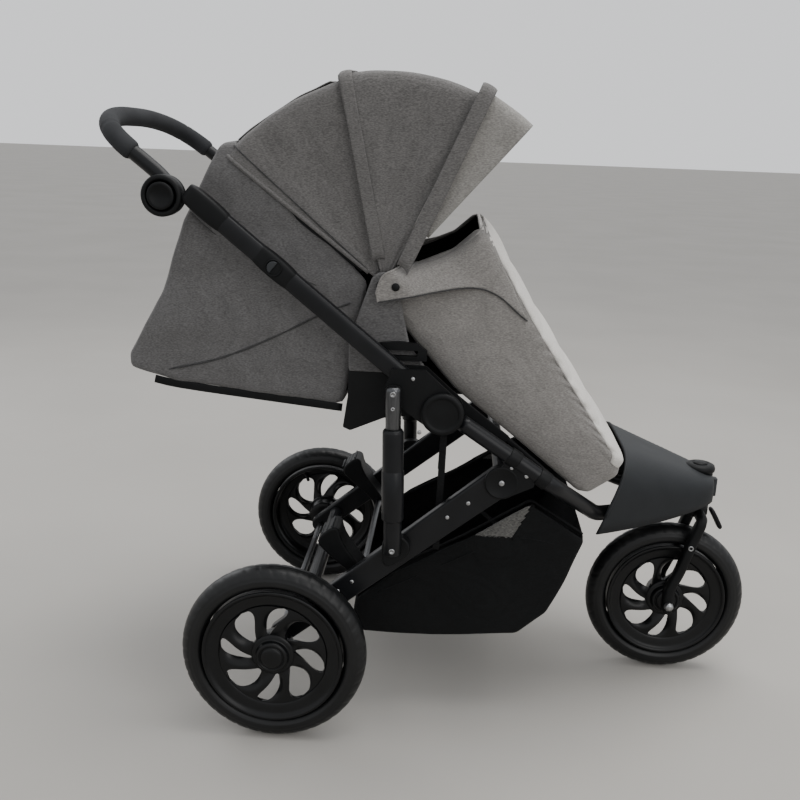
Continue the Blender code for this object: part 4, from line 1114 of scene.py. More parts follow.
# ------------------------------------------------------------------ soft goods
class Puff(Enum):
    """How hard a pad is blown up in its simulation."""

    SOFT = 2.5
    FIRM = 4.0


def puffed(obj: Obj, puff: Puff, voxel: float, cap: float) -> Obj:
    """Swells a closed pad with a cloth simulation, each point held to ``cap`` metres.

    Args:
        obj: the closed starting shape.
        puff: the pressure.
        voxel: the remesh size.
        cap: the furthest that a point may go.
    Returns:
        The same object with its new mesh and one subdivision.
    """
    remesh = obj.modifiers.new("remesh", "REMESH")
    remesh.mode, remesh.voxel_size = "VOXEL", voxel
    take_shape(obj)
    start = coordinates(obj)
    cloth = obj.modifiers.new("cloth", "CLOTH")
    cloth.settings.use_pressure = True
    cloth.settings.uniform_pressure_force = puff.value
    cloth.settings.effector_weights.gravity = 0.0
    cloth.settings.quality = 6
    cloth.point_cache.frame_start, cloth.point_cache.frame_end = 1, 20
    scene = bpy.context.scene
    for step in range(1, 21):
        scene.frame_set(step)
    take_shape(obj)
    scene.frame_set(1)
    moved = coordinates(obj) - start
    length = np.maximum(np.linalg.norm(moved, axis=1, keepdims=True), 1e-9)
    place_points(obj, start + moved * np.minimum(1.0, cap / length))
    obj.data.polygons.foreach_set("use_smooth", np.ones(len(obj.data.polygons), bool))
    return smoothed(obj)


def take_shape(obj: Obj) -> None:
    """Applies every modifier on a piece."""
    bpy.context.view_layer.update()
    graph = bpy.context.evaluated_depsgraph_get()
    mesh = bpy.data.meshes.new_from_object(obj.evaluated_get(graph))
    obj.modifiers.clear()
    obj.data = mesh


def coordinates(obj: Obj) -> Array:
    """A mesh's points as an (n, 3) array."""
    out = np.empty(len(obj.data.vertices) * 3)
    obj.data.vertices.foreach_get("co", out)
    return out.reshape(-1, 3)


def place_points(obj: Obj, points: Array) -> None:
    """Writes an (n, 3) array into a mesh's points."""
    obj.data.vertices.foreach_set("co", points.reshape(-1))
    obj.data.update()


def declare_sheet(obj: Obj, length: float) -> None:
    """Works out a sewn sheet's width, its area over a cut of that length, and keeps nothing of it.

    Args:
        obj: the sheet, before its wall is counted.
        length: the cut's length.
    """
    mesh = obj.data
    size = np.empty(len(mesh.polygons))
    mesh.polygons.foreach_get("area", size)
    round(float(size.sum()) / length, 3)


@dataclass
class Bag:
    """A sewn bag: an outline in x and z carried across its width, with bulging sides.

    A point at share k of the way from the bag's middle to the outline, O(s), is
    C + k (O(s) - C); the section gives k against y, flat over the strip and round the
    seam, then in to the middle of each side.
    """

    outline: Flat
    half: float
    bulge: float
    sag: float
    reach: float = 0.030
    lip: float = 0.010
    shoulder: float = 0.07
    count: int = 240

    def __post_init__(self) -> None:
        """Works out the rounded outline, its middle and the section."""
        corners = np.array(self.outline, float)
        self.line = resample(chaikin(eased(corners, self.reach, True), 3, closed=True), self.count,
                             closed=True)
        self.middle = (self.line.max(0) + self.line.min(0)) / 2
        h, b, c = self.half, self.bulge, self.sag
        w = self.shoulder
        right = [(0.0, -h - b), (0.40, -h - 0.92 * b), (0.72, -h - 0.60 * b), (1 - w, -h - 0.10 * b),
                 (1 - 0.21 * w, -h + 0.1 * self.lip), (1.0, -h + self.lip), (1.0 + 0.7 * c, -h * 0.55),
                 (1.0 + c, -h * 0.2)]
        both = right + [(k, -y) for k, y in reversed(right)]
        self.section = resample(chaikin(np.array(both), 3), 90)
        self.seam = int(np.argmax(self.section[:, 0] > 1 - self.shoulder * 0.15))

    def surface(self, puff: Optional[Array] = None) -> Array:
        """The whole surface as a (section, outline, 3) grid.

        Args:
            puff: (section, outline) growth of k.
        Returns:
            Its points.
        """
        k = self.section[:, :1] + (0.0 if puff is None else puff)
        x = self.middle[0] + k * (self.line[None, :, 0] - self.middle[0])
        z = self.middle[1] + k * (self.line[None, :, 1] - self.middle[1])
        return np.stack([x, np.broadcast_to(self.section[:, 1:], x.shape), z], -1)

    def nearest(self, point: Tuple[float, float]) -> int:
        """The outline's point nearest to one in x and z."""
        return int(np.argmin(np.linalg.norm(self.line - point, axis=1)))

    def between(self, start: Tuple[float, float], stop: Tuple[float, float]) -> Array:
        """A mask of the outline's points from one place round to another."""
        a, b = self.nearest(start), self.nearest(stop)
        i = np.arange(self.count)
        return (i >= a) & (i < b) if a <= b else (i >= a) | (i < b)

    def on_side(self, points: Flat, side: float, lift: float = 0.0) -> Array:
        """Puts (x, z) points on a side panel: y comes from how far out they lie."""
        p = np.asarray(points, float)
        turn = np.arctan2(self.line[:, 1] - self.middle[1], self.line[:, 0] - self.middle[0])
        reach = np.linalg.norm(self.line - self.middle, axis=1)
        order = np.argsort(turn)
        here = p - self.middle
        far = np.interp(np.arctan2(here[:, 1], here[:, 0]), turn[order], reach[order], period=2 * np.pi)
        k = np.linalg.norm(here, axis=1) / far
        half = self.section[:45]
        y = -np.interp(k, half[:, 0], half[:, 1])
        return np.stack([p[:, 0], side * (y + lift), p[:, 1]], 1)

    def edge(self, start: Tuple[float, float], stop: Tuple[float, float], side: float,
             share: float = 0.0) -> Array:
        """A line at the seam, or at a share of the way out, from one place round to another."""
        a, b = self.nearest(start), self.nearest(stop)
        i = np.arange(a, b + 1 if a <= b else b + 1 + self.count) % self.count
        row = self.section[int(np.argmax(self.section[:, 0] > share)) if share else self.seam]
        p = self.middle + row[0] * (self.line[i] - self.middle)
        return np.stack([p[:, 0], np.full(len(p), side * abs(row[1])), p[:, 1]], 1)


@dataclass
class Seat:
    """The seat unit: reclined cloth back, padded foot cover, pads and harness."""

    finishes: Finishes
    fixings: Fixings
    half: float = 0.190
    roll_pitch: float = 0.094
    snap_y: float = 0.2310
    flap_stand: float = 0.0040

    def back(self) -> None:
        """The seat's cloth back: a slack bag, open above and in front, with piped seams."""
        bag = Bag([(0.128, 0.738), (-0.070, 0.944), (-0.104, 0.938), (-0.140, 0.868), (-0.162, 0.822),
                   (-0.199, 0.708), (-0.257, 0.604), (-0.255, 0.584), (-0.180, 0.564), (-0.030, 0.550),
                   (0.088, 0.539), (0.098, 0.560)],
                  self.half + 0.005, 0.008, 0.010, reach=0.016)
        pts = bag.surface()
        x, y, z = pts[..., 0], pts[..., 1], pts[..., 2]
        fold = 0.0035 * ripple(x, z, 34.0, 0.7) + 0.0018 * ripple(z, x, 90.0, 2.1)
        side = np.clip((np.abs(y) - self.half * 0.9) / 0.01, 0, 1)
        pts[..., 1] += np.sign(y) * fold * side
        inner = (1 - (np.abs(y) / self.half).clip(0, 1) ** 6) * 0.004
        pts[..., 0] += inner * ripple(y, z, 30.0, 1.0) * np.clip((np.abs(x) - 0.02) / 0.05, 0, 1)
        strip = (bag.section[:, 0] > 0.97)[:, None]
        gap = bag.between((0.098, 0.560), (-0.078, 0.940))[None, :]
        keep = ~(strip & gap)[:-1]
        obj = grid("seat_shell", pts, wrap=True, keep=keep)
        walled(obj, 0.0025, 0.0)
        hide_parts("seat_back")
        declare_sheet(obj, 0.86)
        ride(obj, "chassis", self.finishes.seat, self.finishes.lining)
        for word, s in SIDES.items():
            line = bag.edge((-0.108, 0.930), (0.088, 0.539), s)
            self.cord(f"seat_piping_{word}", line, 0.0021, self.finishes.piping)
            seam = bag.on_side(chaikin(np.array([(-0.190, 0.585), (-0.110, 0.604), (-0.020, 0.645),
                                                 (0.060, 0.690), (0.100, 0.705)]), 3), s, 0.0012)
            self.cord(f"seat_seam_{word}", resample(seam, 60), 0.0019, self.finishes.piping)
            upper = bag.on_side(chaikin(np.array([(-0.150, 0.835), (-0.110, 0.800), (-0.030, 0.760),
                                                  (0.070, 0.722)]), 3),
                                s, 0.0006)
            self.cord(f"seat_stitch_{word}", resample(upper, 50), 0.0009, self.finishes.piping)
            rail = np.array([(-0.215, s * 0.192, 0.5665), (-0.180, s * 0.192, 0.5590),
                             (-0.03, s * 0.192, 0.5450), (0.090, s * 0.192, 0.5340)])
            tape = sweep(f"seat_rail_{word}", resample(chaikin(rail, 2), 30), oval(0.0065, 0.0022, 3.5, 16))
            ride(tape, "chassis", self.finishes.plastic)

    def cord(self, name: str, path: Array, radius: float, finish: Mat, body: str = "chassis") -> None:
        """Piping or a raised seam along a line."""
        side = (0.0, 1.0, 0.0) if np.ptp(path[:, 1]) < 0.25 else (1.0, 0.0, 0.0)
        ride(sweep(name, path, circle(radius, 8), side), body, finish)

    def cover(self) -> None:
        """The foot cover: plain sides and a quilted front of deep rolls.

        Along the front at distance d the pad swells by |sin(pi d / pitch)|^0.7, less
        towards the seams, and the sides pucker beside the quilting.
        """
        bag = Bag([(0.140, 0.716), (0.148, 0.746), (0.200, 0.770), (0.256, 0.794), (0.290, 0.825),
                   (0.306, 0.826), (0.338, 0.782), (0.386, 0.702), (0.443, 0.618), (0.503, 0.530),
                   (0.550, 0.462), (0.545, 0.432), (0.503, 0.402), (0.484, 0.404), (0.383, 0.484),
                   (0.265, 0.574)],
                  self.half + 0.002, 0.007, 0.014, reach=0.014, lip=0.052, shoulder=0.15, count=460)
        step = np.r_[0.0, np.cumsum(np.linalg.norm(np.diff(bag.line, axis=0), axis=1))]
        front = bag.between((0.304, 0.827), (0.550, 0.446))
        start = step[bag.nearest((0.304, 0.827))]
        roll = np.abs(np.sin(np.pi * (step - start) / self.roll_pitch)) ** 0.7 * front
        across = np.clip((bag.section[:, 0] - 0.87) / 0.10, 0, 1)
        puff = across[:, None] * (0.060 * roll - 0.034)[None, :] * front[None, :]
        crease = 0.004 * (1 - np.abs(bag.section[:, 1:]) / bag.half).clip(0, 1) ** 0.5
        waves = ripple(bag.section[:, 1:], step[None, :], 46.0, 0.4)
        puff = puff + across[:, None] * front[None, :] * crease * waves
        pts = bag.surface(puff)
        x, y, z = pts[..., 0], pts[..., 1], pts[..., 2]
        side = np.clip((np.abs(y) - self.half * 0.95) / 0.008, 0, 1)
        beside = np.exp(-((bag.section[:, :1] - 0.88) / 0.08) ** 2)
        pucker = beside * np.sin(2 * np.pi * step / 0.031)[None, :] * front
        pts[..., 1] += np.sign(y) * side * (0.0024 * ripple(x, z, 26.0, 1.9) + 0.0016 * pucker)
        outer, rim_row = ((bag.section[:-1, :1] > share) for share in (0.885, 0.975))
        strip = outer & (front[None, :] | rim_row)
        back = bag.between((0.500, 0.403), (0.294, 0.827))[None, :]
        panel = grid("cover_front", pts, wrap=True, keep=strip & ~back)
        sides = grid("cover_sides", pts, wrap=True, keep=~strip)
        walled(panel, 0.004, 0.0)
        walled(sides, 0.003, 0.0)
        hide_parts("foot_cover")
        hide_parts("foot_cover")
        declare_sheet(sides, 0.62)
        ride(panel, "chassis", self.finishes.light, self.finishes.lining)
        ride(sides, "chassis", self.finishes.apron, self.finishes.lining)
        for word, s in SIDES.items():
            rim = bag.edge((0.484, 0.404), (0.296, 0.827), s)
            self.cord(f"cover_rim_{word}", rim, 0.0026, self.finishes.apron)
            piped = bag.edge((0.304, 0.828), (0.550, 0.446), s, 0.885)
            self.cord(f"cover_piping_{word}", piped, 0.0014, self.finishes.apron)
            self.flap(word, s, bag)
            strip_line = np.array([(0.190, s * 0.193, 0.606), (0.262, s * 0.193, 0.560),
                                   (0.345, s * 0.193, 0.505), (0.380, s * 0.193, 0.478),
                                   (0.478, s * 0.190, 0.398)])
            tape = sweep(f"cover_rail_{word}", resample(chaikin(strip_line, 2), 40),
                         oval(0.0050, 0.0030, 3.5, 16))
            ride(tape, "chassis", self.finishes.plastic)

    def flap(self, word: str, side: float, bag: Bag) -> None:
        """The folded-back edge of the cover, snapped over the seat plate at its rear corner.

        Between its upper and lower line a point lies at L + v (U - L), and it stands off the
        side by a share s of the way to the snap's plane: y = |n| + s (Y - |n|), where s falls
        along it from the snap to the front corner.

        Args:
            word: the side's name.
            side: the side, -1 or 1.
            bag: the cover's shape.
        """
        upper = resample(chaikin(np.array([(0.143, 0.728), (0.150, 0.756), (0.176, 0.766), (0.2215, 0.774),
                                           (0.266, 0.7945), (0.304, 0.829)]), 3), 50)
        lower = resample(chaikin(np.array([(0.146, 0.714), (0.2235, 0.7300), (0.292, 0.741), (0.330, 0.729),
                                           (0.362, 0.700), (0.376, 0.690)]), 3), 50)
        u, v = np.meshgrid(np.linspace(0, 1, 50), np.linspace(0, 1, 14), indexing="ij")
        x, z = (lower[:, None, :] + v[..., None] * (upper - lower)[:, None, :]).transpose(2, 0, 1)
        near = bag.on_side(np.stack([x.ravel(), z.ravel()], 1), side, 0.0)[:, 1].reshape(x.shape)
        share = (1 - np.clip((u - 0.22) * 2.2, 0, 1)) ** 1.5
        reach = np.abs(near) + self.flap_stand + share * (self.snap_y - self.flap_stand - np.abs(near))
        pts = np.stack([x, side * reach, z], -1)
        sheet = walled(grid(f"cover_flap_{word}", pts), 0.0024, 0.0)
        declare_sheet(sheet, 0.26)
        ride(sheet, "chassis", self.finishes.apron, self.finishes.lining)
        self.cord(f"cover_rim_{word}_flap", np.vstack([pts[0], pts[:, -1]]), 0.0020, self.finishes.apron)
        seam = pts[:, 0] + np.array([0.0, side * 0.0010, 0.0])
        self.cord(f"cover_seam_{word}", seam, 0.0012, self.finishes.piping)
        spot = int(np.argmin(np.abs(x[:, 6] - 0.170)))
        self.fixings.rivet(f"cover_snap_{word}", tuple(pts[spot, 6] + np.array([0.0, side * 0.0015, 0.0])),
                           (0, side, 0), 0.0062, "chassis", self.finishes.plastic, "moulding")

    def pads(self) -> None:
        """Blown-up seat and back pads, with sewn channels drawn in afterwards."""
        for name, low, high, body, node in (
                ("seat_cushion", (0.114, -0.170, 0.558), (0.330, 0.170, 0.574), "chassis", "seat_pad"),
                ("back_cushion", (-0.173, -0.158, 0.578), (0.070, 0.158, 0.594), "backrest", "backrest_pad")):
            low_a, high_a = np.array(low), np.array(high)
            u, v = np.meshgrid(np.linspace(-1, 1, 26), np.linspace(-1, 1, 30), indexing="ij")
            thick = (1 - np.abs(u) ** 6) ** 0.5 * (1 - np.abs(v) ** 6) ** 0.5
            mid, span = (low_a + high_a) / 2, (high_a - low_a) / 2
            x, y = mid[0] + span[0] * u, mid[1] + span[1] * v
            top = np.stack([x, y, mid[2] + span[2] * (thick * 0.8 + 0.2)], -1)
            under = np.stack([x, y, mid[2] - span[2] * (thick * 0.8 + 0.2)], -1)[::-1]
            obj = joined(name, [grid("a", top), grid("b", under), grid("c", np.stack([top[0], under[-1]])),
                                grid("d", np.stack([top[-1], under[0]])),
                                grid("e", np.stack([top[:, 0], under[::-1, 0]])),
                                grid("f", np.stack([top[:, -1], under[::-1, -1]]))])
            outward(obj)
            puffed(obj, Puff.FIRM, 0.005, 0.006)
            take_shape(obj)
            p = coordinates(obj)
            channel = sum(np.exp(-((p[:, 1] - at) / 0.004) ** 2) for at in (-0.08, 0.0, 0.08))
            upper = np.clip((p[:, 2] - mid[2]) / 0.006, 0, 1)
            p[:, 2] -= 0.0035 * channel * upper
            place_points(obj, p)
            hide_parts(node)
            ride(obj, body, self.finishes.lining)
        for node, finish in (("seat_base", self.finishes.plastic), ("backrest_board", self.finishes.plastic),
                             ("leg_rest", self.finishes.plastic)):
            dress(node, finish)

    def harness(self) -> None:
        """Shoulder and lap webbing on the pads, joined at a buckle."""
        for word, s in SIDES.items():
            path = np.array([(-0.160, s * 0.060, 0.602), (-0.050, s * 0.064, 0.604),
                             (0.040, s * 0.060, 0.604)])
            strap = sweep(f"shoulder_strap_{word}", resample(chaikin(path, 2), 24),
                          oval(0.0012, 0.0150, 5.0, 20))
            ride(strap, "backrest", self.finishes.web)
            pad = sweep(f"shoulder_pad_{word}", resample(chaikin(path[:2] + (0, 0, 0.003), 2), 16),
                        oval(0.0045, 0.0220, 3.4, 24), scale=np.r_[0.5, 0.85, np.ones(12), 0.85, 0.5])
            ride(pad, "backrest", self.finishes.lining)
            lap = np.array([(0.150, s * 0.165, 0.586), (0.175, s * 0.090, 0.590), (0.196, s * 0.022, 0.592)])
            ride(sweep(f"lap_strap_{word}", resample(chaikin(lap, 2), 24), oval(0.0125, 0.0012, 5.0, 20),
                       Z_AXIS),
                 "chassis", self.finishes.web)
        buckle = turned("harness_buckle", [(0.0015, -0.003), (0.0205, -0.003), (0.0220, 0.0),
                                           (0.0215, 0.006), (0.018, 0.0085), (0.010, 0.0092),
                                           (0.0015, 0.0094)], (0.202, 0.0, 0.590), Z_AXIS,
                                           40)
        ride(buckle, "chassis", self.finishes.plastic)
        crotch = np.array([(0.222, 0.0, 0.590), (0.262, 0.0, 0.589), (0.300, 0.0, 0.586)])
        ride(sweep("crotch_strap", resample(crotch, 16), oval(0.0012, 0.0150, 5.0, 20)), "chassis",
             self.finishes.web)

    def frame_parts(self) -> None:
        """Better finishes for the seat's plastic plates."""
        top = np.vstack([arc((0.152, 0.737), 0.021, 10, 170, 9),
                         [(0.101, 0.650), (0.101, 0.600), (0.232, 0.600),
                                                                  (0.196, 0.645)]])
        foot = chaikin(eased(np.array([(0.101, 0.606), (0.101, 0.560), (0.094, 0.508), (0.106, 0.503),
                                       (0.160, 0.527), (0.262, 0.540), (0.352, 0.494), (0.360, 0.506),
                                       (0.262, 0.580), (0.232, 0.606)]),
                             0.006, True), 2, True)
        for word, s in SIDES.items():
            sleeve = plate(f"plate_sleeve_{word}", top, s * 0.2085, s * 0.2165, 0.0035, 3)
            ride(sleeve, "chassis", self.finishes.seat)
            low = plate(f"plate_foot_{word}", foot, s * 0.211, s * 0.2155, 0.0012)
            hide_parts(f"seat_plate_{word}")
            ride(low, "chassis", self.finishes.plastic)
            dress(f"seat_adapter_{word}", self.finishes.plastic)
            dress(f"hub_housing_{word}", self.finishes.plastic)
            dress(f"leg_bracket_{word}", self.finishes.plastic)

    def build(self) -> None:
        """Makes the whole seat unit."""
        self.back()
        self.cover()
        self.pads()
        self.harness()
        self.frame_parts()


@dataclass
class Canopy:
    """Nested cloth sections on bows about one pivot, with a flap, a band and a visor."""

    finishes: Finishes
    fixings: Fixings
    pivot: Tuple[float, float] = (0.152, 0.737)
    radius: float = 0.309
    half: float = 0.204
    step: float = 0.007
    start: float = 0.016
    rear_edge: float = 143.0
    middle_edges: Tuple[float, float] = (104.4, 62.5)
    visor_edges: Tuple[float, float] = (65.0, 49.0)
    bow_at: float = 66.4
    bow_ahead: float = 0.0153
    bow_width: float = 0.023
    band_at: float = 102.2
    band_width: float = 0.019

    def profile(self, level: float, start: float, corner: float = 0.050, count: int = 90) -> Array:
        """A section's (radius, y) line: up a side, round a corner, over a crowned roof, down.

        Args:
            level: how many steps outside the rear section.
            start: radius where it starts.
            corner: size of the rounded corner.
            count: points along it.
        Returns:
            (count, 2) of radius and y.
        """
        r, h = self.radius + level * self.step, self.half + level * self.step
        side = [(start, -h), (r * 0.55, -h), (r - corner, -h), (r - 0.010, -h + 0.002),
                (r - 0.001, -h + 0.014), (r, -h + corner), (r + 0.0045, -h * 0.45)]
        line = np.array(side + [(r + 0.006, 0.0)] + [(a, -b) for a, b in reversed(side)])
        return resample(chaikin(line, 3), count)

    def sheet(self, name: str, level: float, start: float, high: float, low: float, sag: float, finish: Mat,
              body: str, rows: int = 40, rise: Optional[Array] = None,
              reach: Tuple[float, float] = (0.0, 1.0)) -> Obj:
        """Cloth between two bows: P = pivot + r(t) (cos a, sin a) with y(t), drawn in between.

        The roof sinks by sag sin(pi u) and the sides hollow by 1.3 sag, with soft folds that
        run out from the pivot.

        Args:
            name: the piece's name.
            level: nesting step.
            start: radius where its sides start.
            high: angle of its rear edge, in degrees.
            low: angle of its front edge.
            sag: how far it sinks between the bows.
            finish: its material.
            body: its body.
            rows: points between the bows.
            rise: (rows,) start radius along the angle, where it changes.
            reach: the share of the profile that is kept.
        Returns:
            The sheet.
        """
        line = self.profile(level, start)
        cut = (np.linspace(0, 1, len(line)) >= reach[0]) & (np.linspace(0, 1, len(line)) <= reach[1])
        line = line[cut]
        u = np.linspace(0, 1, rows)[:, None]
        a = np.radians(high + (low - high) * u)
        r, y = line[None, :, 0], line[None, :, 1]
        top = self.radius + level * self.step
        if rise is not None:
            r = np.minimum(rise[:, None] + (r - start) * (top - rise[:, None]) / (top - start),
                           r + (r > top) * 0)
            r = np.where(line[None, :, 0] >= top, line[None, :, 0], r)
        bow = np.sin(np.pi * u)
        out = np.clip(r / top, 0, 1)
        flat = np.clip((np.abs(y) - self.half * 0.9) / 0.02, 0, 1)
        fold = ripple(a * 0.9, r, 30.0, level + 0.5) * np.minimum(1, bow * 2)
        rr = r - sag * bow * out ** 2 * (1 - flat) + 0.0010 * fold * (1 - flat)
        yy = y - np.sign(y) * flat * (1.2 * sag * bow * np.sin(np.pi * out) - 0.0016 * fold)
        pts = np.stack([self.pivot[0] + rr * np.cos(a), yy + 0 * a, self.pivot[1] + rr * np.sin(a)], -1)
        obj = grid(name, pts)
        walled(obj, 0.0018, 0.0)
        declare_sheet(obj, float(np.linalg.norm(np.diff(line, axis=0), axis=1).sum()))
        return ride(obj, body, finish, self.finishes.lining)

    def band(self, name: str, level: float, start: float, angle: float, width: float, body: str,
             ahead: float = 0.0) -> Obj:
        """A tape of one width over a bow: a(r) = angle - asin(ahead / r), and its edges lie w / 2 from it.

        Args:
            name: the piece's name.
            level: nesting step.
            start: radius where its sides start.
            angle: the bow's angle, in degrees.
            width: the tape's width.
            body: its body.
            ahead: how far in front of the pivot the bow's line passes.
        Returns:
            The tape.
        """
        line = self.profile(level, start)
        u = np.linspace(-0.5, 0.5, 9)[:, None]
        off = np.arcsin(np.clip(ahead / line[None, :, 0], 0, 0.7))
        a = math.radians(angle) - off - u * width / np.maximum(line[None, :, 0], width)
        r = line[None, :, 0] + 0.0022 * np.sqrt(1 - (2 * u) ** 2)
        pts = np.stack([self.pivot[0] + r * np.cos(a), line[None, :, 1] + 0 * a,
                        self.pivot[1] + r * np.sin(a)], -1)
        obj = walled(grid(name, pts), 0.0018, 0.0)
        declare_sheet(obj, float(np.linalg.norm(np.diff(line, axis=0), axis=1).sum()))
        return ride(obj, body, self.finishes.canopy, self.finishes.lining)

    def piping(self, name: str, level: float, start: float, angle: float, radius: float, finish: Mat,
               body: str, corner: float = 0.050) -> None:
        """A sewn cord along a bow: the section's line at one angle."""
        line = self.profile(level, start, corner)
        a = math.radians(angle)
        path = np.stack([self.pivot[0] + line[:, 0] * math.cos(a), line[:, 1],
                         self.pivot[1] + line[:, 0] * math.sin(a)], 1)
        obj = sweep(name, path, circle(radius, 10), (-math.sin(a), 0.0, math.cos(a)))
        ride(obj, body, finish)

    def build(self) -> None:
        """Makes the rear, middle and front sections, the band, flap, bow cover and visor."""
        f = self.finishes
        rear = self.sheet("canopy_rear_cloth", 0, self.start, self.rear_edge, 101.0, 0.006, f.canopy, "chassis")
        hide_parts("canopy_rear")
        self.piping("canopy_rear_edge", 0, 0.030, self.rear_edge, 0.0034, f.canopy, "chassis")
        self.piping("canopy_rear_seam", 0.15, 0.034, 139.5, 0.0011, f.piping, "chassis")
        flap = self.sheet("canopy_flap", 0.22, 0.090, 138.0, 107.0, 0.0055, f.canopy, "chassis",
                          reach=(0.28, 0.72))
        flap.data.materials[1] = f.canopy
        middle = self.sheet("canopy_middle_cloth", 1, self.start, *self.middle_edges, 0.003, f.canopy, "canopy_middle")
        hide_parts("canopy_middle_section")
        self.band("canopy_band", 1.22, 0.040, self.band_at, self.band_width, "canopy_middle")
        bow = self.band("canopy_bow_cloth", 3, 0.040, self.bow_at, self.bow_width, "canopy_front",
                        self.bow_ahead)
        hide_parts("canopy_front_bow")
        a = np.radians(np.linspace(*self.visor_edges, 30))
        rise = 0.00665 / (0.128 * np.sin(a) - 0.113 * np.cos(a))
        visor = self.sheet("visor_cloth", 2, 0.100, *self.visor_edges, 0.002, f.visor, "visor", rows=30, rise=rise)
        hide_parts("canopy_visor")
        for word, s in SIDES.items():
            at = (self.pivot[0], s * (self.half + 0.0116), self.pivot[1])
            cap = turned(f"canopy_pivot_{word}", [(0.0105, -0.002), (0.0105, 0.001), (0.0090, 0.0022),
                                                  (0.006, 0.0028), (0.0015, 0.003)], at, (0, s, 0), 36)
            ride(cap, "chassis", f.plastic)


@dataclass
class Basket:
    """The shopping basket: a sagging cloth bag with mesh windows, a bound rim and straps."""

    finishes: Finishes
    fixings: Fixings
    half: float = 0.196

    def build(self) -> None:
        """Makes the bag, its rim, its seams and the straps that hang it."""
        bag = Bag([(0.112, 0.136), (0.250, 0.137), (0.396, 0.150), (0.444, 0.192), (0.474, 0.262),
                   (0.497, 0.330), (0.405, 0.386), (0.300, 0.318), (0.185, 0.252),
                   (0.120, 0.198)], self.half, 0.003, 0.004,
                   reach=0.014)
        pts = bag.surface()
        x, y, z = pts[..., 0], pts[..., 1], pts[..., 2]
        side = np.clip((np.abs(y) - self.half * 0.9) / 0.01, 0, 1)
        pts[..., 1] += np.sign(y) * side * (0.0030 * ripple(x, z, 38.0, 0.2))
        pts[..., 2] += (1 - side) * 0.003 * ripple(x, y, 24.0, 1.2) * (z < 0.17)
        strip = (bag.section[:, 0] > 0.97)[:, None]
        mouth = bag.between((0.497, 0.330), (0.122, 0.199))[None, :]
        keep = ~(strip & mouth)[:-1]
        inside = (z > 0.326) & (x < 0.385 + 0.5 * (z - 0.338)) & (np.abs(y) > self.half * 0.97)
        inside &= np.roll(inside, -1, axis=1)
        window = inside[:-1] & inside[1:]
        obj = grid("basket_cloth", pts, wrap=True, keep=keep & ~window)
        for word, s in SIDES.items():
            mesh = walled(grid(f"basket_mesh_{word}", pts, wrap=True, keep=window & (y[:-1] * s > 0)),
                          0.0014, 0.0)
            declare_sheet(mesh, 0.12)
            ride(mesh, "chassis", self.finishes.mesh)
        walled(obj, 0.002, 0.0)
        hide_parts("basket")
        declare_sheet(obj, 0.95)
        ride(obj, "chassis", self.finishes.basket)
        for word, s in SIDES.items():
            for part, a, b in (("rim", (0.497, 0.330), (0.120, 0.198)),
                               ("foot", (0.118, 0.150), (0.440, 0.186))):
                line = bag.edge(a, b, s)
                cord = sweep(f"basket_{part}_{word}", line, circle(0.0026, 8))
                ride(cord, "chassis", self.finishes.web)
            bound = bag.on_side(np.array([(0.296, 0.326), (0.379, 0.326), (0.409, 0.382)]), s, 0.0010)
            ride(sweep(f"basket_mesh_edge_{word}", resample(bound, 30), circle(0.0036, 8)), "chassis",
                 self.finishes.basket)
            strap = np.array([(0.256, s * 0.222, 0.522), (0.255, s * 0.214, 0.430),
                              (0.252, s * 0.2005, 0.300)])
            tape = sweep(f"basket_strap_{word}", resample(strap, 20), oval(0.0055, 0.0011, 5.0, 16))
            ride(tape, "chassis", self.finishes.web)
            stitch = bag.on_side(chaikin(np.array([(0.160, 0.215), (0.290, 0.285), (0.380, 0.335),
                                                   (0.460, 0.318)]), 3),
                                 s, 0.0008)
            ride(sweep(f"basket_seam_{word}", resample(stitch, 40), circle(0.0010, 6)), "chassis",
                 self.finishes.web)


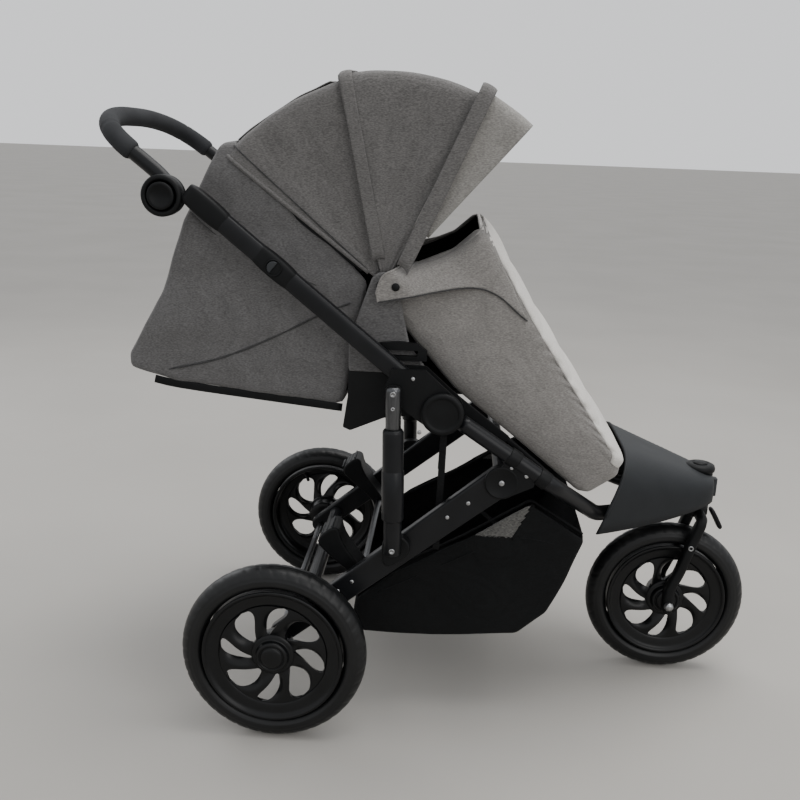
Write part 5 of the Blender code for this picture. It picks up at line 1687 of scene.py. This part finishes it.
# ------------------------------------------------------------------ room, light and camera
@dataclass
class Studio:
    """The pale floor, the soft lights and the camera."""

    lens: float = 42.26
    yaw: float = 0.0508437
    pitch: float = 0.2672414
    roll: float = 0.0376093
    spot: Point = (0.0, -1.643, 0.949)

    def camera(self) -> None:
        """Places the camera: forward f, right r and up u, turned by the roll."""
        f = np.array([-math.sin(self.yaw) * math.cos(self.pitch), math.cos(self.yaw) * math.cos(self.pitch),
                      -math.sin(self.pitch)])
        r = np.array([math.cos(self.yaw), math.sin(self.yaw), 0.0])
        u = np.cross(r, f)
        c, s = math.cos(self.roll), math.sin(self.roll)
        right, up = c * r + s * u, -s * r + c * u
        data = bpy.data.cameras.new("view")
        data.lens, data.sensor_width = self.lens, 36.0
        data.clip_start = 0.01
        obj = bpy.data.objects.new("view", data)
        obj.matrix_world = Matrix(((right[0], up[0], -f[0], self.spot[0]),
                                   (right[1], up[1], -f[1], self.spot[1]),
                                   (right[2], up[2], -f[2], self.spot[2]), (0, 0, 0, 1)))
        bpy.context.scene.collection.objects.link(obj)
        bpy.context.scene.camera = obj

    def floor(self) -> None:
        """A wide matt floor with a faint change of tone."""
        n = 9
        x, y = np.meshgrid(np.linspace(-60, 60, n), np.linspace(-60, 60, n), indexing="ij")
        obj = grid("floor", np.stack([x, y, 0 * x - 0.0005], -1))
        t = Tree("matt_floor")
        t.join(t.blend(t.noise(t.place(), 1.4, 3.0), (160, 157, 152), (165, 162, 157)),
               t.shader.inputs["Base Color"])
        t.shader.inputs["Roughness"].default_value = 0.85
        obj.data.materials.append(t.mat)

    def lamp(self, name: str, at: Point, aim: Point, size: float, power: float, tint: Point) -> None:
        """A square soft light turned towards a point."""
        data = bpy.data.lights.new(name, "AREA")
        data.shape, data.size, data.energy, data.color = "SQUARE", size, power, tint
        obj = bpy.data.objects.new(name, data)
        obj.location = at
        obj.rotation_euler = (Vector(aim) - Vector(at)).to_track_quat("-Z", "Y").to_euler()
        bpy.context.scene.collection.objects.link(obj)

    def build(self) -> None:
        """Makes the floor, the lights, the pale surround and the camera."""
        self.floor()
        self.lamp("top_light", (0.7, 0.2, 3.2), (0.1, 0, 0.5), 2.4, 84.0, (1.0, 0.985, 0.96))
        self.lamp("front_light", (1.9, -2.6, 1.9), (0.1, 0, 0.5), 1.8, 26.0, (1.0, 0.98, 0.95))
        self.lamp("rear_light", (-2.6, 1.6, 2.0), (0, 0, 0.6), 1.6, 22.0, (0.96, 0.98, 1.0))
        world = bpy.data.worlds.new("surround")
        world.use_nodes = True
        world.node_tree.nodes["Background"].inputs["Color"].default_value = linear((214, 215, 217))
        world.node_tree.nodes["Background"].inputs["Strength"].default_value = 1.50
        bpy.context.scene.world = world
        self.camera()


def main() -> None:
    """Builds the stroller's looks in order."""
    logging.basicConfig(level=logging.INFO, format="%(message)s")
    Studio().build()
    finishes = Finishes()
    fixings = Fixings(finishes)
    for word, side in SIDES.items():
        Wheel(f"rear_wheel_{word}", f"rear_wheel_{word}", (0.0, side * 0.297, 0.150), 0.150, side,
              finishes).build()
    Wheel("front_wheel", "front_wheel", (0.684, 0.0, 0.145), 0.145, -1.0, finishes, rear=False).build()
    FoldingFrame(finishes, fixings).build()
    FrontEnd(finishes, fixings).build()
    Brake(finishes, fixings).build()
    Seat(finishes, fixings).build()
    Canopy(finishes, fixings).build()
    Basket(finishes, fixings).build()


if __name__ == "__main__":
    main()
